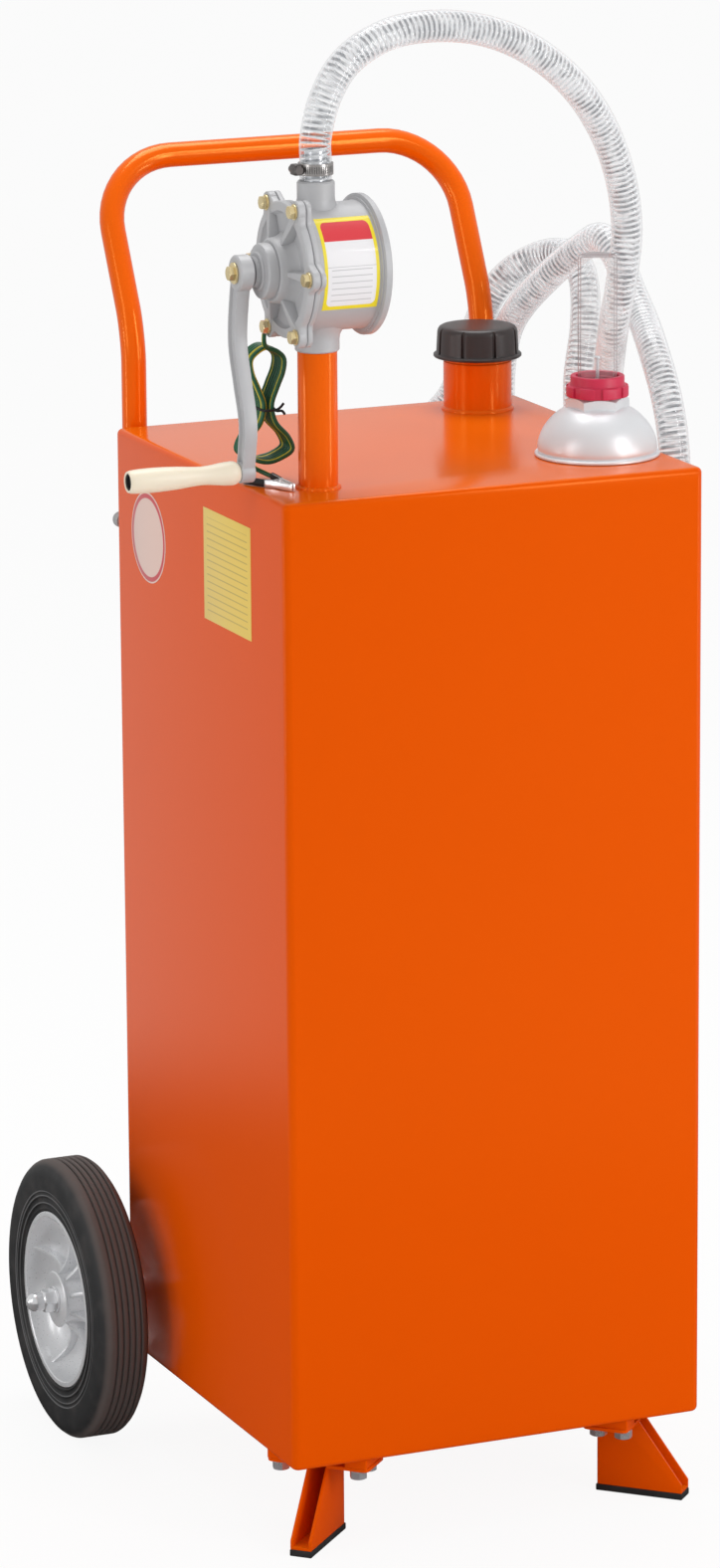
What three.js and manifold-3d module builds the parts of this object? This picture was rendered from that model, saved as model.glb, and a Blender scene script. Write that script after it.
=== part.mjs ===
// Fuel caddy: a square steel tank on two wheels and two feet, with a hand-cranked rotary pump,
// a filling neck, a sight gauge, a delivery hose with its nozzle, and an earthing lead.
// Millimetres, +Z up. The front faces -Y, the wheels are at the back and the crank is on the left.
// Inside this file the tank stands centred over x = y = 0 with the ground at z = 0. The last lines
// move the whole so that the origin is under the middle of what stands on the ground.

import * as THREE from 'three';
import { mergeVertices } from 'three/addons/utils/BufferGeometryUtils.js';
import Module from 'manifold-3d';

const wasm = await Module();
wasm.setup();

// Driving dimensions
const gap = 0.3;
const overrun = 1;
const weldDistance = 0.0005;
const tankWide = 386;
const tankDeep = 386;
const tankHigh = 843;
const groundClear = 81;
const sheet = 2;
const foldRadius = 7;
const rimRadius = 5;
const wheelDiameter = 254;
const wheelWide = 46;
const wheelFromSide = 20;
const axleBehind = 13;
const axleRadius = 8;
const pumpFromSide = 56;
const pumpFromFront = 60;
const pumpAxisHigh = 186;
const neckFromSide = 59;
const neckFromBack = 49;
const gaugeFromSide = 57;
const gaugeFromFront = 92;
const hoseRadius = 13.5;
const hoseBore = 10.6;
const wireRadius = 2;

// Counts
const fineSides = 24;
const sides = 16;
const fewSides = 10;
const boltSides = 8;
const hexSides = 6;
const foldSteps = 2;

// Places worked out from them
const left = -tankWide / 2;
const right = tankWide / 2;
const front = -tankDeep / 2;
const back = tankDeep / 2;
const tankTop = groundClear + tankHigh;
const pumpX = left + pumpFromSide;
const pumpY = front + pumpFromFront;
const pumpZ = tankTop + pumpAxisHigh;
const neckX = right - neckFromSide;
const neckY = back - neckFromBack;
const gaugeX = right - gaugeFromSide;
const gaugeY = front + gaugeFromFront;
const axleY = back + axleBehind;
const axleZ = wheelDiameter / 2;

// Colours, as seen on the real thing
const paint = { color: 0xe85a08, roughness: 0.35, metalness: 0 };
const castGrey = { color: 0xb4b5b5, roughness: 0.5, metalness: 0.3 };
const brass = { color: 0xc9ad62, roughness: 0.35, metalness: 0.9 };
const steel = { color: 0xb8babb, roughness: 0.35, metalness: 0.9 };
const rimGrey = { color: 0xa4a5a6, roughness: 0.45, metalness: 0.4 };
const rubber = { color: 0x2c2b2b, roughness: 0.75, metalness: 0 };
const blackPlastic = { color: 0x3a3333, roughness: 0.5, metalness: 0 };
const greyPlastic = { color: 0x9a9c9d, roughness: 0.6, metalness: 0 };
const crimson = { color: 0xcf3459, roughness: 0.4, metalness: 0 };
const clear = { color: 0xe4eaec, roughness: 0.15, metalness: 0 };
const wood = { color: 0xf3e7cf, roughness: 0.55, metalness: 0 };
const lead = { color: 0x1f6b3a, roughness: 0.5, metalness: 0 };

const caddy = new THREE.Group();

// A named piece. Its geometry may come from three.js or from a boolean solid.
function piece(name, shape, look, parent = caddy) {
  const geometry = shape.isBufferGeometry ? shape : geometryOf(shape);
  const mesh = new THREE.Mesh(geometry, new THREE.MeshStandardMaterial(look));
  mesh.name = name;
  parent.add(mesh);
  return mesh;
}

// A closed three.js geometry as a boolean solid.
function solid(geometry) {
  const plain = geometry.index ? geometry.toNonIndexed() : geometry.clone();
  plain.deleteAttribute('normal');
  plain.deleteAttribute('uv');
  const merged = mergeVertices(plain, weldDistance);
  return new wasm.Manifold(new wasm.Mesh({
    numProp: 3,
    vertProperties: merged.attributes.position.array,
    triVerts: new Uint32Array(merged.index.array),
  }));
}
// A boolean solid as a three.js geometry.
function geometryOf(shape) {
  const mesh = shape.getMesh();
  const geometry = new THREE.BufferGeometry();
  const positions = new Float32Array(mesh.vertProperties);
  geometry.setAttribute('position', new THREE.BufferAttribute(positions, 3));
  geometry.setIndex(Array.from(mesh.triVerts));
  const faceted = geometry.toNonIndexed();
  faceted.computeVertexNormals();
  return faceted;
}

function join(first, ...rest) {
  return rest.reduce((whole, next) => whole.add(next), first);
}

function cut(first, ...tools) {
  return tools.reduce((whole, tool) => whole.subtract(tool), first);
}

// The x, y and z of a geometry's own frame, turned so that its axis lies along the given one.
const xAxis = new THREE.Vector3(1, 0, 0);
const yAxis = new THREE.Vector3(0, 1, 0);
const zAxis = new THREE.Vector3(0, 0, 1);
const turnFromY = {
  x: new THREE.Matrix4().makeBasis(yAxis.clone().negate(), xAxis, zAxis),
  y: new THREE.Matrix4(),
  z: new THREE.Matrix4().makeBasis(xAxis, zAxis, yAxis.clone().negate()),
};
const turnFromZ = {
  x: new THREE.Matrix4().makeBasis(yAxis, zAxis, xAxis),
  y: new THREE.Matrix4().makeBasis(zAxis, xAxis, yAxis),
  z: new THREE.Matrix4(),
};

// A round bar along an axis, between two places on it.
function bar(axis, radius, from, to, count = sides, endRadius = radius) {
  const geometry = new THREE.CylinderGeometry(endRadius, radius, to - from, count);
  geometry.translate(0, (from + to) / 2, 0);
  return solid(geometry.applyMatrix4(turnFromY[axis]));
}

// A turned shape about an axis. Each corner is [radius, place along the axis], anticlockwise.
function turned(axis, corners, count = sides) {
  const points = corners.map(([radius, along]) => new THREE.Vector2(radius, along));
  points.push(points[0].clone());
  const geometry = new THREE.LatheGeometry(points, count);
  return solid(geometry.applyMatrix4(turnFromY[axis]));
}

// A flat outline pushed along an axis, between two places on it.
function plate(axis, outline, from, to, curveSegments = 6) {
  const settings = { depth: to - from, bevelEnabled: false, curveSegments };
  const geometry = new THREE.ExtrudeGeometry(outline, settings);
  geometry.translate(0, 0, from);
  return solid(geometry.applyMatrix4(turnFromZ[axis]));
}

// A box between two corners.
function block(low, high) {
  const size = high.map((value, i) => value - low[i]);
  const geometry = new THREE.BoxGeometry(...size);
  geometry.translate(...low.map((value, i) => value + size[i] / 2));
  return solid(geometry);
}

function polygon(corners) {
  return new THREE.Shape(corners.map(([x, y]) => new THREE.Vector2(x, y)));
}

function roundedRectangle(wide, deep, radius) {
  const x = wide / 2;
  const y = deep / 2;
  const shape = new THREE.Shape();
  shape.moveTo(-x + radius, -y);
  shape.lineTo(x - radius, -y);
  shape.absarc(x - radius, -y + radius, radius, -Math.PI / 2, 0);
  shape.lineTo(x, y - radius);
  shape.absarc(x - radius, y - radius, radius, 0, Math.PI / 2);
  shape.lineTo(-x + radius, y);
  shape.absarc(-x + radius, y - radius, radius, Math.PI / 2, Math.PI);
  shape.lineTo(-x, -y + radius);
  shape.absarc(-x + radius, -y + radius, radius, Math.PI, Math.PI * 3 / 2);
  return shape;
}

// A round tube along a curve, with closed ends.
function tube(curve, radius, steps, count) {
  const section = new THREE.Shape();
  for (let i = 0; i < count; i += 1) {
    const angle = (i / count) * Math.PI * 2;
    const point = [Math.cos(angle) * radius, Math.sin(angle) * radius];
    if (i === 0) section.moveTo(...point);
    else section.lineTo(...point);
  }
  section.closePath();
  const settings = { steps, extrudePath: curve, bevelEnabled: false };
  return new THREE.ExtrudeGeometry(section, settings);
}

// Tank: a wrapped wall between a top pan and a bottom pan
const panDepth = 14;
const boltOut = 36;
const boltRadius = 4;

// A folded pan, open downwards, with its flat face at z = 0.
function pan() {
  const inset = roundedRectangle(
    tankWide - 2 * rimRadius, tankDeep - 2 * rimRadius, foldRadius - rimRadius);
  const settings = {
    depth: panDepth,
    bevelEnabled: true,
    bevelSize: rimRadius,
    bevelThickness: rimRadius,
    bevelSegments: foldSteps,
    curveSegments: foldSteps,
  };
  const block = new THREE.ExtrudeGeometry(inset, settings);
  block.translate(0, 0, -panDepth - rimRadius);
  const hollowShape = roundedRectangle(
    tankWide - 2 * sheet, tankDeep - 2 * sheet, foldRadius - sheet);
  const hollow = plate('z', hollowShape, -panDepth - 2 * rimRadius, -sheet, foldSteps);
  const keep = plate('z', roundedRectangle(
    tankWide + overrun, tankDeep + overrun, foldRadius), -panDepth, overrun, foldSteps);
  return cut(solid(block).intersect(keep), hollow);
}

const postRadius = 16.7;
const postWall = 2.8;
const neckRadius = 30.4;
const neckWall = 2;
const gaugeHole = 20;
const mountBarHigh = 9;
const mountBarWide = 20;
const mountBarStart = 38;
const mountBarEnd = 78;

function tank() {
  const wallHigh = tankHigh - 2 * panDepth;
  const outline = roundedRectangle(tankWide, tankDeep, foldRadius);
  outline.holes.push(roundedRectangle(
    tankWide - 2 * sheet, tankDeep - 2 * sheet, foldRadius - sheet));
  const wallBase = groundClear + panDepth;
  piece('tank_body', plate('z', outline, wallBase, wallBase + wallHigh, foldSteps), paint);

  const holeLow = -panDepth;
  const top = cut(
    pan(),
    bar('z', postRadius - postWall, holeLow, overrun).translate(pumpX, pumpY, 0),
    bar('z', neckRadius - neckWall, holeLow, overrun).translate(neckX, neckY, 0),
    bar('z', gaugeHole, holeLow, overrun).translate(gaugeX, gaugeY, 0),
  ).translate(0, 0, tankTop);
  piece('tank_top', top, paint);

  let floor = pan().rotate(180, 0, 0).translate(0, 0, groundClear);
  for (const side of [-1, 1]) {
    for (const out of [-boltOut, boltOut]) {
      const mountBar = cut(
        block(
          [mountBarStart, out - mountBarWide / 2, -mountBarHigh],
          [mountBarEnd, out + mountBarWide / 2, sheet / 2],
        ),
        ...boltPlaces.map((along) => bar(
          'z', boltRadius + gap, -mountBarHigh - overrun, 0, boltSides,
        ).translate(along, out, 0)),
      );
      floor = floor.add(placeFoot(mountBar, side).translate(0, 0, groundClear));
    }
  }
  piece('tank_floor', floor, paint);
}

// Feet: folded channels set along the diagonals of the two front corners
const footInset = 9.3;
const footLong = 79.5;
const footWide = 19.3;
const footSheet = 2.5;
const footToe = 8;
const footTopLong = 30;
const padThick = 6;
const padRim = 0.5;
const flangeThick = 3;
const flangeHalf = 47;
const flangeStart = 36;
const boltPlaces = [45, 68];
const boltHead = 7.5;
const boltHeadHigh = 7;

// A foot is drawn with its length along +X from its outer end, then turned into its corner.
function placeFoot(shape, side) {
  const angle = side < 0 ? 45 : 135;
  return shape.rotate(0, 0, angle).translate(
    side * (right - footInset), front + footInset, 0);
}

function foot(side, word) {
  const flangeLow = groundClear - mountBarHigh - flangeThick;
  const cheek = polygon([
    [0, padThick],
    [footLong, padThick],
    [footLong, groundClear],
    [footLong - footTopLong, groundClear],
    [0, padThick + footToe],
  ]);
  const half = footWide / 2;
  const cheeks = [-half, half - footSheet].map(
    (from) => plate('y', swapped(cheek), from, from + footSheet));
  const base = block([0, -half, padThick], [footLong, half, padThick + footSheet]);
  const web = block([footLong - footSheet, -half, padThick], [footLong, half, groundClear]);
  let shape = join(cheeks[0], cheeks[1], base, web);
  for (const out of [-1, 1]) {
    const inner = out * (half - footSheet / 2);
    const outer = out * flangeHalf;
    const wing = block(
      [flangeStart + footSheet, Math.min(inner, outer), flangeLow],
      [footLong, Math.max(inner, outer), flangeLow + flangeThick],
    );
    const hole = bar('z', boltRadius + gap, flangeLow - overrun,
      flangeLow + flangeThick + overrun, boltSides);
    const head = bar('z', boltHead, flangeLow - boltHeadHigh, flangeLow + overrun, hexSides);
    const shank = bar('z', boltRadius, flangeLow, groundClear - overrun, boltSides);
    shape = shape.add(wing).subtract(hole.translate(boltPlaces[0], out * boltOut, 0));
    shape = shape.add(join(head, shank).translate(boltPlaces[1], out * boltOut, 0));
    const bolt = join(
      bar('z', boltHead, flangeLow - boltHeadHigh, flangeLow, hexSides),
      bar('z', boltRadius, flangeLow - overrun, groundClear - overrun, boltSides),
    ).translate(boltPlaces[0], out * boltOut, 0);
    const number = out < 0 ? 1 : 2;
    piece(`${word}_foot_bolt_${number}`, placeFoot(bolt, side), steel);
  }
  piece(`${word}_foot`, placeFoot(shape, side), paint);
  const pad = block(
    [-padRim, -half - padRim, 0], [footLong + padRim, half + padRim, padThick]);
  piece(`${word}_foot_pad`, placeFoot(pad, side), rubber);
}

// An outline in x and z, ready for a plate along y, whose own outline axes are z and x.
function swapped(shape) {
  return new THREE.Shape(shape.getPoints().map((p) => new THREE.Vector2(p.y, p.x)).reverse());
}

// Riser post, filling neck and cap
const postHigh = 116;
const weldHigh = 3;
const weldRim = 3;
const neckHigh = 68;
const neckWeldRim = 2;
const gasketThick = 3;
const gasketWide = 5;
const capSkirt = 28;
const capTopThick = 4;
const capRadius = 36;
const capGroove = 1.6;
const capLobes = 8;
const capFlangeRadius = 39.2;
const capFlangeHigh = 3;
const lobePoints = 5;

function post() {
  const outer = join(
    bar('z', postRadius, tankTop, tankTop + postHigh),
    bar('z', postRadius + weldRim, tankTop, tankTop + weldHigh, sides, postRadius + weldRim / 2),
  );
  const bore = bar('z', postRadius - postWall, tankTop - overrun, tankTop + postHigh + overrun);
  piece('pump_post', cut(outer, bore).translate(pumpX, pumpY, 0), paint);
}

function fillNeck() {
  const neck = cut(
    join(
      bar('z', neckRadius, tankTop, tankTop + neckHigh, fineSides),
      bar('z', neckRadius + neckWeldRim, tankTop, tankTop + weldHigh, fineSides),
    ),
    bar('z', neckRadius - neckWall, tankTop - overrun, tankTop + neckHigh + overrun),
  ).translate(neckX, neckY, 0);
  piece('fill_neck', neck, paint);

  const neckTop = tankTop + neckHigh;
  const gasket = cut(
    bar('z', neckRadius, neckTop, neckTop + gasketThick - gap),
    bar('z', neckRadius - gasketWide, neckTop - overrun, neckTop + gasketThick + overrun),
  ).translate(neckX, neckY, 0);
  piece('cap_gasket', gasket, rubber);

  const underside = neckTop + gasketThick;
  const capTop = underside + capTopThick;
  const skirtLow = capTop - capSkirt;
  const outline = new THREE.Shape();
  for (let i = 0; i < capLobes * lobePoints; i += 1) {
    const angle = (i / (capLobes * lobePoints)) * Math.PI * 2;
    const groove = i % lobePoints === 0 ? capGroove : 0;
    const radius = capRadius - groove;
    const point = [Math.cos(angle) * radius, Math.sin(angle) * radius];
    if (i === 0) outline.moveTo(...point);
    else outline.lineTo(...point);
  }
  const cap = cut(
    join(
      plate('z', outline, skirtLow, capTop),
      bar('z', capFlangeRadius, skirtLow, skirtLow + capFlangeHigh, fineSides),
    ),
    bar('z', neckRadius + gap, skirtLow - overrun, underside, fineSides),
  ).translate(neckX, neckY, 0);
  piece('fill_cap', cap, blackPlastic);
}

// Handle: one bent tube on the back wall
const handleRadius = 11;
const handleFromSide = 25;
const handleHalf = right - handleFromSide;
const handleStand = 5.6;
const handleBelow = 160;
const handleUpright = 78;
const handleAbove = 223;
const handleLeanBack = 76;
const handleCorner = 67;
const handleLeanBend = 26;
const handleSteps = 38;
const circleShare = 0.5523;
const weldPadWide = 18;
const weldPadHigh = 34;
const weldPadsBelow = [140, 44];

function handle() {
  const legY = back + handleStand + handleRadius;
  const topY = legY + handleLeanBack;
  const kneeZ = tankTop + handleUpright;
  const topZ = tankTop + handleAbove;
  const slope = new THREE.Vector3(0, topY - legY, topZ - kneeZ).normalize();
  const path = new THREE.CurvePath();
  const corner = (side, y, z) => new THREE.Vector3(side * handleHalf, y, z);
  const end = (side) => corner(side, legY, tankTop - handleBelow);
  const knee = (side) => corner(side, legY, kneeZ);
  const kneeLow = (side) => corner(side, legY, kneeZ - handleLeanBend);
  const kneeHigh = (side) => knee(side).addScaledVector(slope, handleLeanBend);
  const bend = (side) => corner(side, topY, topZ);
  const bendLow = (side) => bend(side).addScaledVector(slope, -handleCorner);
  const bendIn = (side) => bend(side).addScaledVector(xAxis, -side * handleCorner);
  path.add(new THREE.LineCurve3(end(-1), kneeLow(-1)));
  path.add(new THREE.QuadraticBezierCurve3(kneeLow(-1), knee(-1), kneeHigh(-1)));
  path.add(new THREE.LineCurve3(kneeHigh(-1), bendLow(-1)));
  path.add(roundBend(bendLow(-1), bend(-1), bendIn(-1)));
  path.add(new THREE.LineCurve3(bendIn(-1), bendIn(1)));
  path.add(roundBend(bendIn(1), bend(1), bendLow(1)));
  path.add(new THREE.LineCurve3(bendLow(1), kneeHigh(1)));
  path.add(new THREE.QuadraticBezierCurve3(kneeHigh(1), knee(1), kneeLow(1)));
  path.add(new THREE.LineCurve3(kneeLow(1), end(1)));
  let shape = solid(tube(path, handleRadius, handleSteps, boltSides));
  for (const side of [-1, 1]) {
    for (const below of weldPadsBelow) {
      const middle = side * handleHalf;
      const low = tankTop - below;
      shape = shape.add(block(
        [middle - weldPadWide / 2, back, low],
        [middle + weldPadWide / 2, legY, low + weldPadHigh],
      ));
    }
  }
  piece('handle', shape, paint);
}

// A quarter circle between two tangent points, as the usual cubic curve.
function roundBend(from, corner, to) {
  return new THREE.CubicBezierCurve3(
    from,
    from.clone().lerp(corner, circleShare),
    to.clone().lerp(corner, circleShare),
    to,
  );
}

// Rear bumper: a small plastic stop beside the left leg of the handle
const bumperRadius = 7;
const bumperLong = 11;
const bumperEdge = 2;
const bumperFromSide = 7.3;
const bumperBelow = 84;

function rearBumper() {
  const shape = join(
    bar('y', bumperRadius, back, back + bumperLong, fewSides),
    bar('y', bumperRadius, back + bumperLong, back + bumperLong + bumperEdge, fewSides,
      bumperRadius - bumperEdge),
  );
  piece('rear_bumper', shape.translate(left + bumperFromSide, 0, tankTop - bumperBelow), greyPlastic);
}

// Axle and wheels
const axleEndRadius = 6;
const housingRadius = 12;
const housingPlay = 0.7;
const saddleHalf = 15;
const saddlePlaces = [-150, 0, 150];
const collarRadius = 14;
const collarLong = 12;
const hubRadius = 22;
const hubInner = 25;
const hubOuter = 19;
const rimRadiusOut = 80;
const rimRing = 7;
const rimHalf = 21.5;
const webThick = 4;
const webPlace = -6;
const spokeThick = 4;
const spokes = 8;
const spokeDip = 6;
const tyreShoulder = 6;
const washerRadius = 23;
const washerThick = 2;
const lockWasherRadius = 12;
const lockWasherThick = 2.5;
const nutRadius = 11;
const nutHigh = 10;
const nutDomeRadius = 8.5;
const nutDomeHigh = 7;

const hubFaceIn = right + wheelFromSide;
const wheelMiddle = hubFaceIn + hubInner;
const hubFaceOut = wheelMiddle + hubOuter;
const housingHalf = hubFaceIn - gap - collarLong - housingPlay;
const nutStart = hubFaceOut + gap;
const nutTip = nutStart + washerThick + lockWasherThick + nutHigh + nutDomeHigh + nutDomeRadius;

function axle() {
  const axleEnd = nutTip - nutDomeRadius - overrun;
  const shape = join(
    bar('x', axleRadius, -hubFaceOut, hubFaceOut, fewSides),
    bar('x', axleEndRadius, -axleEnd, axleEnd, boltSides),
    bar('x', collarRadius, -hubFaceIn + gap, -hubFaceIn + gap + collarLong, sides),
    bar('x', collarRadius, hubFaceIn - gap - collarLong, hubFaceIn - gap, sides),
  );
  piece('axle', shape.translate(0, axleY, axleZ), steel);

  const saddles = saddlePlaces.map((x) => block(
    [x - saddleHalf, back - axleY, -housingRadius], [x + saddleHalf, 0, housingRadius]));
  const housing = cut(
    join(bar('x', housingRadius, -housingHalf, housingHalf, sides), ...saddles),
    bar('x', axleRadius + gap, -housingHalf - overrun, housingHalf + overrun, sides),
  );
  piece('axle_housing', housing.translate(0, axleY, axleZ), paint);
}

// A wheel is turned about x with its outer face towards +x, then mirrored for the left side.
function wheel(side, word) {
  const tyreRadius = wheelDiameter / 2;
  const half = wheelWide / 2;
  const face = (shape) => {
    const placed = shape.translate(wheelMiddle, 0, 0);
    return (side < 0 ? placed.mirror([1, 0, 0]) : placed).translate(0, axleY, axleZ);
  };
  const tyre = turned('x', [
    [rimRadiusOut + gap, -rimHalf],
    [rimRadiusOut + tyreShoulder, -half],
    [tyreRadius - tyreShoulder, -half],
    [tyreRadius, -half + tyreShoulder],
    [tyreRadius, half - tyreShoulder],
    [tyreRadius - tyreShoulder, half],
    [rimRadiusOut + tyreShoulder, half],
    [rimRadiusOut + gap, rimHalf],
  ], fineSides);
  piece(`${word}_tyre`, face(tyre), rubber);

  const inside = rimRadiusOut - rimRing;
  let rim = turned('x', [
    [axleRadius + gap, -hubInner],
    [hubRadius, -hubInner],
    [hubRadius, webPlace - webThick],
    [inside, webPlace - webThick],
    [inside + spokeThick, -rimHalf],
    [rimRadiusOut, -rimHalf],
    [rimRadiusOut, rimHalf],
    [inside, rimHalf],
    [inside, webPlace],
    [hubRadius, webPlace],
    [hubRadius, hubOuter],
    [axleRadius + gap, hubOuter],
  ], fineSides);
  const spoke = polygon([
    [webPlace - webThick / 2, hubRadius - overrun],
    [webPlace - webThick / 2, inside + overrun],
    [rimHalf - spokeDip, inside + overrun],
    [webPlace + spokeDip, (hubRadius + inside) / 2],
    [hubOuter - spokeDip / 2, hubRadius - overrun],
  ]);
  for (let i = 0; i < spokes; i += 1) {
    const one = plate('y', new THREE.Shape(spoke.getPoints().map(
      (p) => new THREE.Vector2(p.y, p.x)).reverse()), -spokeThick / 2, spokeThick / 2);
    rim = rim.add(one.rotate((i * 360) / spokes, 0, 0));
  }
  piece(`${word}_wheel_rim`, face(rim), rimGrey);

  const start = nutStart - wheelMiddle;
  const hexLow = start + washerThick + lockWasherThick;
  const domeLow = hexLow + nutHigh;
  const nut = cut(
    join(
      bar('x', washerRadius, start, start + washerThick, sides),
      bar('x', lockWasherRadius, start + washerThick, hexLow, sides),
      bar('x', nutRadius, hexLow, domeLow, hexSides),
      bar('x', nutDomeRadius, domeLow, domeLow + nutDomeHigh, sides),
      solid(new THREE.SphereGeometry(nutDomeRadius, fewSides, fewSides / 2)
        .applyMatrix4(turnFromY.x)).translate(domeLow + nutDomeHigh, 0, 0),
    ),
    bar('x', axleEndRadius + gap, start - overrun, domeLow + nutDomeHigh, sides),
  );
  piece(`${word}_axle_nut`, face(nut), steel);
}

// Pump, drawn about its own axis along x, with its two necks over x = 0
const pumpBack = 44;
const pumpFront = 24.4;
const barrelRadius = 53.2;
const rearFlangeRadius = 59;
const rearFlangeThick = 8;
const jointFlangeThick = 4.6;
const jointRadius = 57;
const boltCircle = 60.2;
const lobeRadius = 9.5;
const coverBolts = 6;
const chamberRadius = 46;
const chamberOffset = 3;
const rearWall = 6;
const inletRadius = 18.7;
const outletRadius = 15.8;
const outletHigh = 72.6;
const nippleRadius = 9.5;
const nippleBore = 7;
const nippleDeep = 15;
const nippleOut = 26;
const pipeRadius = 10.5;
const pipeBore = 8.5;
const pipeSeat = 11;
const coverThick = 6.9;
const coverDish = 4;
const dishRadius = 49;
const coverRibThick = 5;
const coverRibHigh = 3;
const bossRadius = 27;
const bossHigh = 11;
const glandRadius = 23.3;
const glandThick = 9;
const glandEdge = 2;
const shaftRadius = 7;
const rotorRadius = 38;
const vaneThick = 5;
const vaneWide = 20;
const vaneReach = 42;
const coverBoltRadius = 3;
const coverBoltHead = 5.8;
const coverBoltHeadHigh = 4.5;
const coverWasherRadius = 6.6;
const coverWasherThick = 1.2;

const coverBack = -pumpFront - gap;
const coverFace = coverBack - coverThick;
const bossFace = coverFace - bossHigh;
const glandFace = bossFace - gap - glandThick;

// The six-lobed outline that the cover and the body share at their joint.
function lobed(from, to) {
  let shape = bar('x', jointRadius, from, to, fineSides);
  for (let i = 0; i < coverBolts; i += 1) {
    shape = shape.add(bar('x', lobeRadius, from, to, boltSides).translate(...boltPlace(i)));
  }
  return shape;
}

function boltPlace(i) {
  const angle = Math.PI + (i / coverBolts) * Math.PI * 2;
  return [0, Math.cos(angle) * boltCircle, Math.sin(angle) * boltCircle];
}

function pumpBody(group) {
  const inletLow = postHigh - pumpAxisHigh;
  let body = join(
    bar('x', barrelRadius, -pumpFront, pumpBack, fineSides),
    bar('x', rearFlangeRadius, pumpBack - rearFlangeThick, pumpBack, fineSides),
    lobed(-pumpFront, -pumpFront + jointFlangeThick),
    bar('z', inletRadius, inletLow, 0),
    bar('z', outletRadius, 0, outletHigh),
  );
  body = cut(
    body,
    bar('x', chamberRadius, -pumpFront - overrun, pumpBack - rearWall, sides)
      .translate(0, 0, chamberOffset),
    bar('x', shaftRadius + gap, 0, pumpBack - rearWall / 2, sides),
    bar('z', pipeRadius + gap, inletLow - overrun, inletLow + pipeSeat + gap),
    bar('z', pipeBore, inletLow, 0),
    bar('z', nippleRadius + gap, outletHigh - nippleDeep - gap, outletHigh + overrun),
    bar('z', nippleBore, 0, outletHigh),
  );
  for (let i = 0; i < coverBolts; i += 1) {
    const hole = bar('x', coverBoltRadius + gap, -pumpFront - overrun,
      -pumpFront + jointFlangeThick + overrun, boltSides);
    body = body.subtract(hole.translate(...boltPlace(i)));
  }
  piece('pump_body', body, castGrey, group);
}

function pumpCover(group) {
  let cover = lobed(coverFace, coverBack).subtract(
    bar('x', dishRadius, coverFace - overrun, coverFace + coverDish, fineSides));
  for (let i = 0; i < coverBolts; i += 1) {
    const rib = block(
      [coverFace - coverRibHigh, 0, -coverRibThick / 2],
      [coverFace + coverDish + overrun, boltCircle - coverWasherRadius, coverRibThick / 2],
    );
    cover = cover.add(rib.rotate((i * 360) / coverBolts, 0, 0));
  }
  cover = cover.add(bar('x', bossRadius, bossFace, coverFace + coverDish + overrun, sides));
  cover = cover.subtract(bar('x', shaftRadius + gap, bossFace - overrun, overrun, sides));
  for (let i = 0; i < coverBolts; i += 1) {
    const hole = bar('x', coverBoltRadius + gap, coverFace - overrun, coverBack + overrun, boltSides);
    cover = cover.subtract(hole.translate(...boltPlace(i)));
  }
  piece('pump_cover', cover, castGrey, group);

  const gland = turned('x', [
    [shaftRadius + gap, glandFace],
    [glandRadius - glandEdge, glandFace],
    [glandRadius, glandFace + glandEdge],
    [glandRadius, bossFace - gap],
    [shaftRadius + gap, bossFace - gap],
  ], sides);
  piece('gland_nut', gland, castGrey, group);

  for (let i = 0; i < coverBolts; i += 1) {
    const under = coverFace - gap;
    const bolt = join(
      bar('x', coverWasherRadius, under - coverWasherThick, under, fewSides),
      bar('x', coverBoltHead, under - coverWasherThick - coverBoltHeadHigh,
        under - coverWasherThick, hexSides),
      bar('x', coverBoltRadius, under - overrun, -pumpFront + jointFlangeThick - overrun, boltSides),
    );
    piece(`cover_bolt_${i + 1}`, bolt.translate(...boltPlace(i)), brass, group);
  }
}

// Crank, with its arm hanging down
const armGap = 8.9;
const eyeRadius = 15;
const eyeThick = 12.5;
const armThick = 11.5;
const armLong = 167;
const armRootHalf = 8.2;
const armTipHalf = 6.3;
const armSteps = 16;
const armSway = 12;
const armSwayPlaces = [0, 0.12, 0.36, 0.55, 0.75, 0.9, 1];
const armSwayShares = [0, 0.5, 0.9, 0.1, -0.83, -0.56, -0.25];
const tipRadius = 9;
const crankBoltHead = 6.2;
const crankBoltHigh = 4.5;
const crankWasherRadius = 9;
const crankWasherThick = 1.5;
const crankBoltShank = 3.5;
const crankBoltDeep = 14;
const pinRadius = 4;
const pinHead = 5.4;
const pinHeadHigh = 3;
const gripLong = 98.5;
const gripRecess = 6.5;
const gripRecessRadius = 5.9;
const gripEnd = 8.8;
const gripRound = 9.6;
const gripSwell = 10.35;
const gripWaist = 7.8;
const gripFlare = 9.8;

const eyeBack = glandFace - armGap;
const eyeFront = eyeBack - eyeThick;
const gripStart = eyeFront - gap;
const gripOuter = gripStart - gripLong;

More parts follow.
